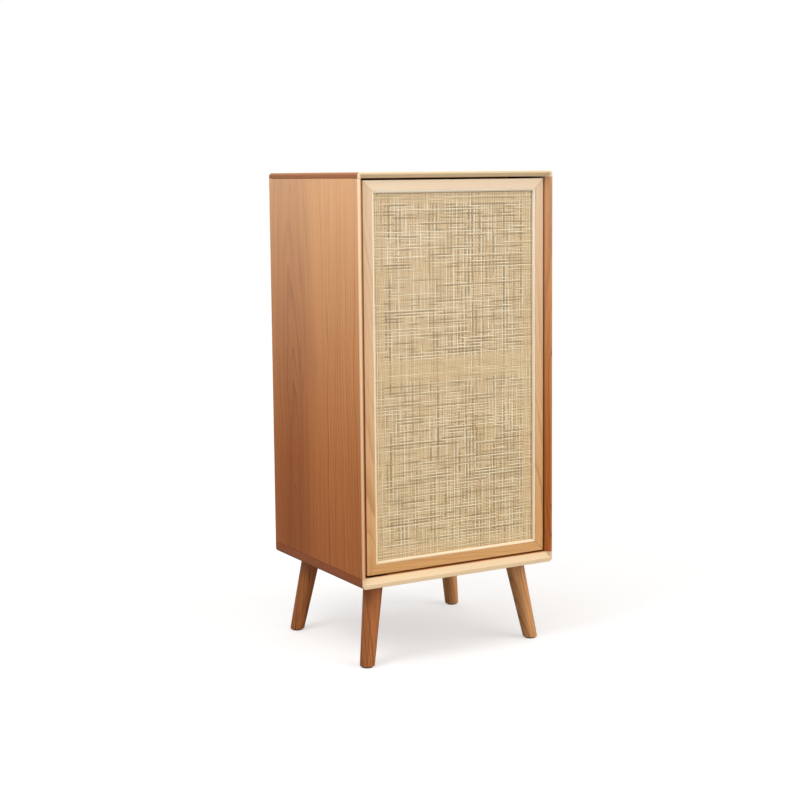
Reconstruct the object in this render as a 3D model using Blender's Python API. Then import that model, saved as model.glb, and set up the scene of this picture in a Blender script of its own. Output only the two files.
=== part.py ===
"""Shoe cabinet on four splayed legs with one framed rattan door.

Metres, +Z up.  The origin is on the floor under the middle of the case.
The door faces -Y, and +X is to the right of someone facing it.
"""

import math

import bmesh
import bpy
from mathutils import Matrix, Vector

# Overall size
CASE_WIDTH = 0.460
CASE_DEPTH = 0.400
TOTAL_HEIGHT = 1.000
LEG_HEIGHT = 0.172

# Case boards
SIDE_THICKNESS = 0.012
TOP_THICKNESS = 0.012
BOTTOM_THICKNESS = 0.021
TOP_CORNER_RADIUS = 0.007
BOTTOM_CORNER_RADIUS = 0.008
CORNER_SEGMENTS = 8
RIM_WIDTH = 0.0045
BOTTOM_RIM_WIDTH = 0.0085
MOUTH_DEPTH = 0.009
EDGE_EASE = 0.0008
JOINT_GAP = 0.0003

# Back panel and its rebate
BACK_THICKNESS = 0.006
BACK_REBATE = 0.006
BACK_SETBACK = 0.0015

# Shelves and their pins
SHELF_THICKNESS = 0.015
SHELF_FRONT_SETBACK = 0.052
SHELF_REAR_GAP = 0.002
SHELF_SIDE_GAP = 0.0015
SHELF_LEVELS = (0.27, 0.43, 0.63, 0.831)
HOLE_PITCH = 0.032
FIRST_HOLE_ROW = 0.024
PIN_RADIUS = 0.0025
PIN_BORE_DEPTH = 0.008
PIN_PROUD = 0.009
PIN_SETBACK = 0.040

# Door
DOOR_GAP = 0.004
DOOR_RECESS = 0.011
DOOR_THICKNESS = 0.020
DOOR_FACE_WIDTH = 0.020
DOOR_MEMBER_WIDTH = 0.048
REBATE_DEPTH = 0.007
RATTAN_THICKNESS = 0.0016
BEAD_WIDTH = 0.0055
BEAD_INNER_HEIGHT = 0.0012
BEAD_ARC_STEPS = 5
MID_RAIL_HEIGHT = 0.048
MID_RAIL_ABOVE_MIDDLE = 0.0115
TENON_LENGTH = 0.012
TENON_HEIGHT = 0.030
TENON_THICKNESS = 0.006

# Pivot hinges
PIVOT_FROM_EDGE = 0.008
PIVOT_FROM_FACE = 0.005
LEAF_LENGTH = 0.046
LEAF_WIDTH = 0.0085
LEAF_THICKNESS = 0.0025
LEAF_TAIL = 0.0055
PIVOT_RADIUS = 0.0025
PIVOT_DEPTH = 0.0075
PIVOT_CLEARANCE = 0.0003

# Push latch
LATCH_WIDTH = 0.024
LATCH_HEIGHT = 0.016
LATCH_LENGTH = 0.050
LATCH_FROM_SIDE = 0.030
LATCH_FROM_DOOR = 0.004
PLUNGER_RADIUS = 0.004
PLUNGER_IN_BODY = 0.016
PLUNGER_TRAVEL = 0.003
PLUNGER_CLEARANCE = 0.0003
STRIKE_WIDTH = 0.018
STRIKE_HEIGHT = 0.014
STRIKE_THICKNESS = 0.0015

# Legs
LEG_TOP_RADIUS = 0.0205
LEG_FOOT_RADIUS = 0.0150
LEG_FOOT_ROUND = 0.002
LEG_TOP_INSET_X = 0.058
LEG_TOP_INSET_Y = 0.062
LEG_FOOT_INSET_X = 0.0295
LEG_FOOT_INSET_Y = 0.040
LEG_SEGMENTS = 32
BOLT_RADIUS = 0.004
BOLT_IN_LEG = 0.032
BOLT_IN_BOARD = 0.013
GLIDE_RADIUS = 0.0115
GLIDE_THICKNESS = 0.0035
GLIDE_SUNK = 0.0012
ROUND_SEGMENTS = 24
SMALL_SEGMENTS = 16

# Derived positions
HALF_WIDTH = CASE_WIDTH / 2
HALF_DEPTH = CASE_DEPTH / 2
FRONT_Y = -HALF_DEPTH
INNER_X = HALF_WIDTH - SIDE_THICKNESS
INNER_TOP = TOTAL_HEIGHT - TOP_THICKNESS
INNER_BOTTOM = LEG_HEIGHT + BOTTOM_THICKNESS
BACK_FRONT_Y = HALF_DEPTH - BACK_SETBACK - BACK_THICKNESS

DOOR_FRONT_Y = FRONT_Y + DOOR_RECESS
DOOR_BACK_Y = DOOR_FRONT_Y + DOOR_THICKNESS
DOOR_FLOOR_Y = DOOR_FRONT_Y + REBATE_DEPTH
DOOR_HALF_WIDTH = INNER_X - DOOR_GAP
DOOR_TOP = INNER_TOP - DOOR_GAP
DOOR_BOTTOM = INNER_BOTTOM + DOOR_GAP
DOOR_HALF_HEIGHT = (DOOR_TOP - DOOR_BOTTOM) / 2
DOOR_CENTRE_Z = (DOOR_TOP + DOOR_BOTTOM) / 2
MID_RAIL_CENTRE = DOOR_CENTRE_Z + MID_RAIL_ABOVE_MIDDLE
PIVOT_X = -DOOR_HALF_WIDTH + PIVOT_FROM_EDGE
PIVOT_Y = DOOR_FRONT_Y + PIVOT_FROM_FACE

SIDES = {"left": -1, "right": 1}
ENDS = {"front": -1, "rear": 1}

WOOD = ((0.64, 0.40, 0.21, 1.0), 0.0, 0.45)
DARK_WOOD = ((0.38, 0.19, 0.08, 1.0), 0.0, 0.45)
RATTAN = ((0.72, 0.55, 0.34, 1.0), 0.0, 0.70)
STEEL = ((0.60, 0.60, 0.58, 1.0), 1.0, 0.35)
NICKEL = ((0.70, 0.68, 0.64, 1.0), 1.0, 0.25)
DARK_PLASTIC = ((0.05, 0.05, 0.05, 1.0), 0.0, 0.50)
PALE_PLASTIC = ((0.75, 0.74, 0.70, 1.0), 0.0, 0.50)


def clear_scene():
    """Remove every object already in the scene."""
    for old in list(bpy.data.objects):
        bpy.data.objects.remove(old, do_unlink=True)


def new_collection(name):
    """Return a collection linked to the scene."""
    made = bpy.data.collections.new(name)
    bpy.context.scene.collection.children.link(made)
    return made


def finish_mesh(name, bm):
    """Turn a bmesh into a mesh with outward faces and free the bmesh."""
    bmesh.ops.recalc_face_normals(bm, faces=bm.faces)
    mesh = bpy.data.meshes.new(name)
    bm.to_mesh(mesh)
    bm.free()
    return mesh


def box_bmesh(low, high):
    """Return a bmesh box between two corners."""
    low = Vector(low)
    high = Vector(high)
    bm = bmesh.new()
    bmesh.ops.create_cube(bm, size=1.0)
    size = high - low
    bmesh.ops.transform(
        bm,
        matrix=Matrix.Translation((low + high) / 2) @ Matrix.Diagonal((*size, 1.0)),
        verts=bm.verts,
    )
    return bm


def ease_edges(bm, width):
    """Round every sharp edge of a bmesh by a small width."""
    bmesh.ops.bevel(
        bm, geom=list(bm.edges), offset=width, segments=2, profile=0.5, affect="EDGES",
        clamp_overlap=True,
    )


def round_edges(bm, height, radius):
    """Round the two edges along Y that lie at one height of a box."""
    chosen = []
    for edge in bm.edges:
        first, second = (vert.co for vert in edge.verts)
        level = abs(first.z - height) < EDGE_EASE and abs(second.z - height) < EDGE_EASE
        if level and abs(first.x - second.x) < EDGE_EASE:
            chosen.append(edge)
    bmesh.ops.bevel(
        bm, geom=chosen, offset=radius, segments=CORNER_SEGMENTS, profile=0.5, affect="EDGES",
    )


def cylinder_bmesh(radius, start, end, segments, axis="Z"):
    """Return a closed cylinder standing along one axis, from start to end."""
    bm = bmesh.new()
    bmesh.ops.create_cone(
        bm, cap_ends=True, segments=segments, radius1=radius, radius2=radius, depth=end - start,
    )
    turn = Matrix.Identity(4)
    if axis == "Y":
        turn = Matrix.Rotation(-math.pi / 2, 4, "X")
    if axis == "X":
        turn = Matrix.Rotation(math.pi / 2, 4, "Y")
    middle = Matrix.Translation((0.0, 0.0, (start + end) / 2))
    bmesh.ops.transform(bm, matrix=turn @ middle, verts=bm.verts)
    return bm


def moved(bm, offset):
    """Shift a bmesh and hand it back."""
    bmesh.ops.translate(bm, vec=Vector(offset), verts=bm.verts)
    return bm


def mitred_bmesh(profile, half_length, side, across, centre):
    """Return a frame member with mitred ends.

    profile lists (inward, depth) points measured from the member's outer edge
    and along Y.  side is the outward direction and across the length direction,
    both in the plane of the door.
    """
    side = Vector(side)
    across = Vector(across)
    bm = bmesh.new()
    rings = []
    for sign in (-1.0, 1.0):
        ring = []
        for inward, depth in profile:
            place = Vector(centre) - side * inward + across * sign * (half_length - inward)
            place.y = depth
            ring.append(bm.verts.new(place))
        rings.append(ring)
    count = len(profile)
    bm.faces.new(rings[0])
    bm.faces.new(rings[1][::-1])
    for index in range(count):
        after = (index + 1) % count
        bm.faces.new((rings[0][index], rings[1][index], rings[1][after], rings[0][after]))
    return bm


class Maker:
    """Makes the named pieces, their finishes and the hidden cutters."""

    def __init__(self):
        self.parts = new_collection("shoe_cabinet")
        self.cutters = new_collection("cutters")
        self.door_axis = bpy.data.objects.new("door_hinge_axis", None)
        self.door_axis.location = (PIVOT_X, PIVOT_Y, DOOR_CENTRE_Z)
        self.parts.objects.link(self.door_axis)

    def part(self, name, bm, finish, smooth=False, door=False, origin=None):
        """Add one piece; door pieces hang from the hinge axis."""
        mesh = finish_mesh(name, bm)
        if origin is not None:
            mesh.transform(Matrix.Translation(-Vector(origin)))
        made = bpy.data.objects.new(name, mesh)
        self.parts.objects.link(made)
        if origin is not None:
            made.location = origin
        if door:
            made.parent = self.door_axis
            made.location = -Vector(self.door_axis.location)
        colour, metallic, roughness = finish
        material = bpy.data.materials.new(name + "_finish")
        material.use_nodes = True
        shader = material.node_tree.nodes["Principled BSDF"]
        shader.inputs["Base Color"].default_value = colour
        shader.inputs["Metallic"].default_value = metallic
        shader.inputs["Roughness"].default_value = roughness
        mesh.materials.append(material)
        if smooth:
            mesh.shade_smooth()
            mesh.set_sharp_from_angle(angle=math.radians(35.0))
        return made

    def cutter(self, name, bm):
        """Add a hidden shape used only to cut other pieces."""
        made = bpy.data.objects.new(name, finish_mesh(name, bm))
        made.hide_render = True
        made.display_type = "WIRE"
        self.cutters.objects.link(made)
        return made

    @staticmethod
    def cut(piece, tool, operation="DIFFERENCE"):
        """Cut one piece with a tool, or join the tool to it."""
        step = piece.modifiers.new(tool.name, "BOOLEAN")
        step.operation = operation
        step.solver = "EXACT"
        step.object = tool


def mouth_cutter(maker):
    """Return the flared opening cut into the front of the case."""
    outside = EDGE_EASE
    low = (-INNER_X, FRONT_Y - outside, INNER_BOTTOM)
    high = (INNER_X, FRONT_Y + MOUTH_DEPTH, INNER_TOP)
    bm = box_bmesh(low, high)
    reach = 1.0 + outside / MOUTH_DEPTH
    for vert in bm.verts:
        if vert.co.y < FRONT_Y:
            vert.co.x += math.copysign((SIDE_THICKNESS - RIM_WIDTH) * reach, vert.co.x)
            if vert.co.z > DOOR_CENTRE_Z:
                vert.co.z += (TOP_THICKNESS - RIM_WIDTH) * reach
            else:
                vert.co.z -= (BOTTOM_THICKNESS - BOTTOM_RIM_WIDTH) * reach
    return maker.cutter("front_mouth_cutter", bm)


def make_case(maker):
    """Make the four case boards and the back, and return the boards."""
    board_gap = JOINT_GAP
    top = box_bmesh((-HALF_WIDTH, -HALF_DEPTH, INNER_TOP), (HALF_WIDTH, HALF_DEPTH, TOTAL_HEIGHT))
    round_edges(top, TOTAL_HEIGHT, TOP_CORNER_RADIUS)
    bottom = box_bmesh(
        (-HALF_WIDTH, -HALF_DEPTH, LEG_HEIGHT), (HALF_WIDTH, HALF_DEPTH, INNER_BOTTOM))
    round_edges(bottom, LEG_HEIGHT, BOTTOM_CORNER_RADIUS)
    boards = {
        "top": maker.part("top_panel", top, WOOD, smooth=True),
        "bottom": maker.part("bottom_panel", bottom, WOOD, smooth=True),
    }
    for name, sign in SIDES.items():
        edges = sorted((sign * INNER_X, sign * HALF_WIDTH))
        side = box_bmesh(
            (edges[0], -HALF_DEPTH, INNER_BOTTOM + board_gap),
            (edges[1], HALF_DEPTH, INNER_TOP - board_gap),
        )
        ease_edges(side, EDGE_EASE)
        boards[name] = maker.part("side_panel_" + name, side, WOOD, smooth=True)

    mouth = mouth_cutter(maker)
    rebate = maker.cutter("back_rebate_cutter", box_bmesh(
        (-INNER_X - BACK_REBATE, BACK_FRONT_Y, INNER_BOTTOM - BACK_REBATE),
        (INNER_X + BACK_REBATE, HALF_DEPTH + BACK_SETBACK, INNER_TOP + BACK_REBATE),
    ))
    for board in boards.values():
        maker.cut(board, mouth)
        maker.cut(board, rebate)

    edge = BACK_REBATE - JOINT_GAP
    back = box_bmesh(
        (-INNER_X - edge, BACK_FRONT_Y + JOINT_GAP, INNER_BOTTOM - edge),
        (INNER_X + edge, BACK_FRONT_Y + BACK_THICKNESS, INNER_TOP + edge),
    )
    maker.part("back_panel", back, WOOD)
    return boards


def shelf_tops():
    """Return the height of each shelf's top, stepped to the hole pitch."""
    inner_height = INNER_TOP - INNER_BOTTOM
    tops = []
    for level in SHELF_LEVELS:
        row = round((level * inner_height - FIRST_HOLE_ROW) / HOLE_PITCH)
        tops.append(INNER_BOTTOM + FIRST_HOLE_ROW + row * HOLE_PITCH)
    return tops


def make_shelves(maker, boards):
    """Make the adjustable shelves and the four pins under each one."""
    shelf_front = FRONT_Y + SHELF_FRONT_SETBACK
    shelf_rear = BACK_FRONT_Y - SHELF_REAR_GAP
    half = INNER_X - SHELF_SIDE_GAP
    rows = {"front": shelf_front + PIN_SETBACK, "rear": shelf_rear - PIN_SETBACK}
    for number, top in enumerate(shelf_tops(), start=1):
        under = top - SHELF_THICKNESS
        shelf = box_bmesh((-half, shelf_front, under), (half, shelf_rear, top))
        ease_edges(shelf, EDGE_EASE)
        maker.part(f"shelf_{number}", shelf, WOOD, smooth=True)
        height = under - JOINT_GAP - PIN_RADIUS
        for side, sign in SIDES.items():
            for row, depth in rows.items():
                outer = sign * (INNER_X + PIN_BORE_DEPTH)
                inner = sign * (INNER_X - PIN_PROUD)
                start, end = sorted((outer - sign * JOINT_GAP, inner))
                pin = cylinder_bmesh(PIN_RADIUS, start, end, SMALL_SEGMENTS, axis="X")
                label = f"shelf_{number}_{side}_{row}"
                maker.part("pin_" + label, moved(pin, (0.0, depth, height)), NICKEL, smooth=True)
                start, end = sorted((outer, inner))
                bore = cylinder_bmesh(
                    PIN_RADIUS + PIVOT_CLEARANCE, start, end, SMALL_SEGMENTS, axis="X")
                tool = maker.cutter("bore_" + label, moved(bore, (0.0, depth, height)))
                maker.cut(boards[side], tool)


def make_door(maker):
    """Make the mitred door frame, mid rail, rattan and beads."""
    frame_profile = (
        (0.0, DOOR_FRONT_Y),
        (0.0, DOOR_BACK_Y),
        (DOOR_MEMBER_WIDTH, DOOR_BACK_Y),
        (DOOR_MEMBER_WIDTH, DOOR_FLOOR_Y),
        (DOOR_FACE_WIDTH, DOOR_FLOOR_Y),
        (DOOR_FACE_WIDTH, DOOR_FRONT_Y),
    )
    bead_back = DOOR_FLOOR_Y - RATTAN_THICKNESS - 2 * JOINT_GAP
    bead_start = DOOR_FACE_WIDTH + JOINT_GAP
    bead_end = DOOR_FACE_WIDTH + BEAD_WIDTH
    arc = []
    for step in range(BEAD_ARC_STEPS + 1):
        angle = 0.5 * math.pi * step / BEAD_ARC_STEPS
        lower = bead_back - BEAD_INNER_HEIGHT
        inward = bead_start + (bead_end - bead_start) * math.sin(angle)
        arc.append((inward, lower - (lower - DOOR_FRONT_Y) * math.cos(angle)))
    bead_profile = ((bead_end, bead_back), (bead_start, bead_back), *arc)

    places = {
        "left": ((-1, 0, 0), (0, 0, 1), DOOR_HALF_WIDTH, DOOR_HALF_HEIGHT, "hinge_stile"),
        "right": ((1, 0, 0), (0, 0, 1), DOOR_HALF_WIDTH, DOOR_HALF_HEIGHT, "latch_stile"),
        "top": ((0, 0, 1), (1, 0, 0), DOOR_HALF_HEIGHT, DOOR_HALF_WIDTH, "top_rail"),
        "bottom": ((0, 0, -1), (1, 0, 0), DOOR_HALF_HEIGHT, DOOR_HALF_WIDTH, "bottom_rail"),
    }
    members = {}
    mitre_gap = JOINT_GAP / math.sqrt(2.0)
    for place, (side, across, distance, half_length, label) in places.items():
        centre = Vector((0.0, 0.0, DOOR_CENTRE_Z)) + Vector(side) * distance
        frame = mitred_bmesh(frame_profile, half_length - mitre_gap, side, across, centre)
        members[place] = maker.part("door_" + label, frame, WOOD, door=True)
        bead = mitred_bmesh(bead_profile, half_length - mitre_gap, side, across, centre)
        maker.part("door_bead_" + place, bead, WOOD, smooth=True, door=True)

    inner_half = DOOR_HALF_WIDTH - DOOR_MEMBER_WIDTH
    low_z = MID_RAIL_CENTRE - MID_RAIL_HEIGHT / 2
    high_z = MID_RAIL_CENTRE + MID_RAIL_HEIGHT / 2
    rail = box_bmesh(
        (-inner_half + JOINT_GAP, DOOR_FLOOR_Y, low_z), (inner_half - JOINT_GAP, DOOR_BACK_Y, high_z))
    mid_rail = maker.part("door_mid_rail", rail, WOOD, door=True)
    tenon_y = (DOOR_FLOOR_Y + DOOR_BACK_Y) / 2
    for place, sign in SIDES.items():
        for label, grow in (("tenon", 0.0), ("mortise", JOINT_GAP)):
            start, end = sorted((sign * (inner_half - TENON_LENGTH),
                                 sign * (inner_half + TENON_LENGTH + grow)))
            tool = maker.cutter(f"mid_rail_{label}_{place}", box_bmesh(
                (start, tenon_y - TENON_THICKNESS / 2 - grow,
                 MID_RAIL_CENTRE - TENON_HEIGHT / 2 - grow),
                (end, tenon_y + TENON_THICKNESS / 2 + grow,
                 MID_RAIL_CENTRE + TENON_HEIGHT / 2 + grow),
            ))
            if label == "tenon":
                maker.cut(mid_rail, tool, "UNION")
            else:
                maker.cut(members[place], tool)

    edge = DOOR_FACE_WIDTH + 2 * JOINT_GAP
    rattan = box_bmesh(
        (-DOOR_HALF_WIDTH + edge, DOOR_FLOOR_Y - JOINT_GAP - RATTAN_THICKNESS, DOOR_BOTTOM + edge),
        (DOOR_HALF_WIDTH - edge, DOOR_FLOOR_Y - JOINT_GAP, DOOR_TOP - edge),
    )
    maker.part("door_rattan_panel", rattan, RATTAN, door=True)
    return members


def make_hinges(maker, boards, members):
    """Make a pivot hinge at the top and the bottom of the door's left edge."""
    ends = {"top": (INNER_TOP, DOOR_TOP, 1), "bottom": (INNER_BOTTOM, DOOR_BOTTOM, -1)}
    start_x = PIVOT_X - LEAF_TAIL
    for name, (case_face, door_face, sign) in ends.items():
        leaf_low = (start_x, PIVOT_Y - LEAF_WIDTH / 2)
        leaf_high = (start_x + LEAF_LENGTH, PIVOT_Y + LEAF_WIDTH / 2)
        deep = sign * LEAF_THICKNESS

        low_z, high_z = sorted((case_face, case_face + deep))
        leaf = maker.part("hinge_case_leaf_" + name, box_bmesh(
            (*leaf_low, low_z), (*leaf_high, high_z)), STEEL, smooth=True)
        start, end = sorted((case_face + deep / 2, door_face - sign * PIVOT_DEPTH))
        pin = cylinder_bmesh(PIVOT_RADIUS, start, end, ROUND_SEGMENTS)
        maker.cut(leaf, maker.cutter("pivot_pin_" + name, moved(pin, (PIVOT_X, PIVOT_Y, 0.0))),
                  "UNION")
        grow = JOINT_GAP
        low_z, high_z = sorted((case_face - sign * DOOR_GAP / 2, case_face + deep + sign * grow))
        maker.cut(boards[name], maker.cutter("case_leaf_mortise_" + name, box_bmesh(
            (leaf_low[0] - grow, leaf_low[1] - grow, low_z),
            (leaf_high[0] + grow, leaf_high[1] + grow, high_z))))

        low_z, high_z = sorted((door_face, door_face - deep))
        door_leaf = maker.part("hinge_door_leaf_" + name, box_bmesh(
            (*leaf_low, low_z), (*leaf_high, high_z)), STEEL, smooth=True, door=True)
        start, end = sorted((door_face + sign * DOOR_GAP / 2,
                             door_face - sign * (PIVOT_DEPTH + grow)))
        socket = maker.cutter("pivot_socket_" + name, moved(
            cylinder_bmesh(PIVOT_RADIUS + PIVOT_CLEARANCE, start, end, ROUND_SEGMENTS),
            (PIVOT_X, PIVOT_Y, 0.0)))
        low_z, high_z = sorted((door_face + sign * DOOR_GAP / 2, door_face - deep - sign * grow))
        mortise = maker.cutter("door_leaf_mortise_" + name, box_bmesh(
            (leaf_low[0] - grow, leaf_low[1] - grow, low_z),
            (leaf_high[0] + grow, leaf_high[1] + grow, high_z)))
        maker.cut(door_leaf, socket)
        for place in (name, "left"):
            maker.cut(members[place], mortise)
            maker.cut(members[place], socket)


def make_latch(maker):
    """Make the push latch under the top board and its strike on the door."""
    centre_x = INNER_X - LATCH_FROM_SIDE
    front = DOOR_BACK_Y + LATCH_FROM_DOOR
    top = INNER_TOP - JOINT_GAP
    centre_z = top - LATCH_HEIGHT / 2
    body = box_bmesh(
        (centre_x - LATCH_WIDTH / 2, front, top - LATCH_HEIGHT),
        (centre_x + LATCH_WIDTH / 2, front + LATCH_LENGTH, top),
    )
    ease_edges(body, EDGE_EASE)
    latch = maker.part("latch_body", body, PALE_PLASTIC, smooth=True)
    bore_end = front + PLUNGER_IN_BODY + PLUNGER_TRAVEL + JOINT_GAP
    bore = cylinder_bmesh(
        PLUNGER_RADIUS + PLUNGER_CLEARANCE, front - LATCH_FROM_DOOR, bore_end, ROUND_SEGMENTS, "Y")
    maker.cut(latch, maker.cutter("latch_bore", moved(bore, (centre_x, 0.0, centre_z))))

    tip = DOOR_BACK_Y + STRIKE_THICKNESS + 2 * JOINT_GAP
    plunger = cylinder_bmesh(
        PLUNGER_RADIUS, tip, front + PLUNGER_IN_BODY, ROUND_SEGMENTS, "Y")
    origin = (centre_x, tip, centre_z)
    maker.part("latch_plunger", moved(plunger, (centre_x, 0.0, centre_z)), DARK_PLASTIC,
               smooth=True, origin=origin)

    strike_y = DOOR_BACK_Y + JOINT_GAP
    strike = box_bmesh(
        (centre_x - STRIKE_WIDTH / 2, strike_y, centre_z - STRIKE_HEIGHT / 2),
        (centre_x + STRIKE_WIDTH / 2, strike_y + STRIKE_THICKNESS, centre_z + STRIKE_HEIGHT / 2),
    )
    maker.part("strike_plate", strike, STEEL, door=True)


def leg_bmesh(height):
    """Return an upright tapered leg with a rounded foot, revolved about Z."""
    bm = bmesh.new()
    outline = (
        (0.0, 0.0),
        (LEG_FOOT_RADIUS - LEG_FOOT_ROUND, 0.0),
        (LEG_FOOT_RADIUS - LEG_FOOT_ROUND * (1.0 - math.sqrt(0.5)),
         LEG_FOOT_ROUND * (1.0 - math.sqrt(0.5))),
        (LEG_FOOT_RADIUS, LEG_FOOT_ROUND),
        (LEG_TOP_RADIUS, height),
        (0.0, height),
    )
    verts = [bm.verts.new((radius, 0.0, level)) for radius, level in outline]
    edges = [bm.edges.new(pair) for pair in zip(verts, verts[1:])]
    bmesh.ops.spin(
        bm, geom=verts + edges, cent=(0, 0, 0), axis=(0, 0, 1), dvec=(0, 0, 0),
        angle=2.0 * math.pi, steps=LEG_SEGMENTS, use_duplicate=False,
    )
    bmesh.ops.remove_doubles(bm, verts=bm.verts, dist=0.00001)
    return bm


def make_legs(maker, boards):
    """Make the four splayed legs with their bolts and floor glides."""
    foot_z = GLIDE_THICKNESS - GLIDE_SUNK
    top_z = LEG_HEIGHT - JOINT_GAP
    height = top_z - foot_z
    for end, end_sign in ENDS.items():
        for side, side_sign in SIDES.items():
            label = f"{end}_{side}"
            top_x = side_sign * (HALF_WIDTH - LEG_TOP_INSET_X)
            top_y = end_sign * (HALF_DEPTH - LEG_TOP_INSET_Y)
            foot_x = side_sign * (HALF_WIDTH - LEG_FOOT_INSET_X)
            foot_y = end_sign * (HALF_DEPTH - LEG_FOOT_INSET_Y)
            lean = Matrix.Identity(4)
            lean[0][2] = (top_x - foot_x) / height
            lean[1][2] = (top_y - foot_y) / height
            leg_mesh = leg_bmesh(height)
            bmesh.ops.transform(
                leg_mesh, matrix=Matrix.Translation((foot_x, foot_y, foot_z)) @ lean,
                verts=leg_mesh.verts)
            leg = maker.part("leg_" + label, leg_mesh, DARK_WOOD, smooth=True)

            bolt_low = top_z - BOLT_IN_LEG
            bolt_high = LEG_HEIGHT + BOLT_IN_BOARD
            bolt = cylinder_bmesh(BOLT_RADIUS, bolt_low, bolt_high, SMALL_SEGMENTS)
            maker.part("leg_bolt_" + label, moved(bolt, (top_x, top_y, 0.0)), STEEL, smooth=True)
            hole = cylinder_bmesh(
                BOLT_RADIUS + JOINT_GAP, bolt_low - JOINT_GAP, bolt_high + JOINT_GAP,
                SMALL_SEGMENTS)
            tool = maker.cutter("leg_bolt_hole_" + label, moved(hole, (top_x, top_y, 0.0)))
            maker.cut(leg, tool)
            maker.cut(boards["bottom"], tool)

            glide = cylinder_bmesh(GLIDE_RADIUS, 0.0, GLIDE_THICKNESS, ROUND_SEGMENTS)
            maker.part("glide_" + label, moved(glide, (foot_x, foot_y, 0.0)), DARK_PLASTIC,
                       smooth=True)
            seat = cylinder_bmesh(
                GLIDE_RADIUS + JOINT_GAP, 0.0, GLIDE_THICKNESS + JOINT_GAP, ROUND_SEGMENTS)
            maker.cut(leg, maker.cutter("glide_seat_" + label, moved(seat, (foot_x, foot_y, 0.0))))


def main():
    """Build the whole cabinet."""
    clear_scene()
    maker = Maker()
    boards = make_case(maker)
    make_shelves(maker, boards)
    members = make_door(maker)
    make_hinges(maker, boards, members)
    make_latch(maker)
    make_legs(maker, boards)


main()
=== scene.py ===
"""Finished look of a shoe cabinet: ash case and door frame, woven rattan panel, steel fittings.

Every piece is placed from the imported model, in metres, +Z up, with the door facing -Y.
"""

import logging
import math
from dataclasses import dataclass, field, replace
from enum import Enum

import bmesh
import bpy
from mathutils import Matrix, Vector


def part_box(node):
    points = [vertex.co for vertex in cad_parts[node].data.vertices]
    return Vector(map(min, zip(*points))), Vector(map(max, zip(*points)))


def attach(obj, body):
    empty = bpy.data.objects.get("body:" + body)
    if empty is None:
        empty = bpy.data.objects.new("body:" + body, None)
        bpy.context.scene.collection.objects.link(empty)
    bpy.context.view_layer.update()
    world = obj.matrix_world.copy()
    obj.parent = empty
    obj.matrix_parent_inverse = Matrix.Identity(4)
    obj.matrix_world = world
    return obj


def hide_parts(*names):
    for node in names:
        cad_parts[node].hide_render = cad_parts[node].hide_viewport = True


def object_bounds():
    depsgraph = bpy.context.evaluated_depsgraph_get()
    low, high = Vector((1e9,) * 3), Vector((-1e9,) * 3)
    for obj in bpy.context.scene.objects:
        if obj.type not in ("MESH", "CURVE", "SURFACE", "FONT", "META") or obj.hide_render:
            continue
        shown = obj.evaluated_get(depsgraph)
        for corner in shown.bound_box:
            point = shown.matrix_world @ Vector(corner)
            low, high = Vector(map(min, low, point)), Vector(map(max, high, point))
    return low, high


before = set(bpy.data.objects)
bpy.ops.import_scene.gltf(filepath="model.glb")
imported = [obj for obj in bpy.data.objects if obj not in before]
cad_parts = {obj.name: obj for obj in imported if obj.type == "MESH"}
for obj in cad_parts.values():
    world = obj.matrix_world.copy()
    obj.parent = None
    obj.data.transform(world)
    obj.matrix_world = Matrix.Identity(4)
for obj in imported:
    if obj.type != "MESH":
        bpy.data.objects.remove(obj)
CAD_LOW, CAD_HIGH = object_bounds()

log = logging.getLogger("shoe_cabinet")

Colour = tuple[float, float, float]
Place = tuple[float, float, float]
Span = tuple[float, float]

MERGE_DISTANCE = 0.00001
FLAT_ANGLE = math.radians(1.0)
EASED_ANGLE = math.radians(32.0)
FITTING_SHARP_ANGLE = math.radians(35.0)
LEG_SHARP_ANGLE = math.radians(40.0)
FINE_BUMP = 0.0002
FULL_TURN = 6.283
DRILL_SIDES = 12
BLACK = (0.0, 0.0, 0.0)
GRAIN_ATTRIBUTE = "grain_place"
TONE_ATTRIBUTE = "strand_tone"
STRAND_ATTRIBUTE = "strand"
FACING_ATTRIBUTE = "facing"
SHELF_NUMBERS = range(1, 5)


class Body(Enum):
    """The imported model's moving bodies."""

    CASE = "case"
    DOOR = "door"
    PLUNGER = "latch_plunger"


class Grain(Enum):
    """Directions that a board's grain can run, as turns of the grain space."""

    UPRIGHT = (0.0, 0.0, 0.0)
    ACROSS = (0.0, math.pi / 2, 0.0)


class Side(Enum):
    """Left and right of someone facing the door."""

    LEFT = -1
    RIGHT = 1


# --- Node helpers ---------------------------------------------------------------------------


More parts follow.
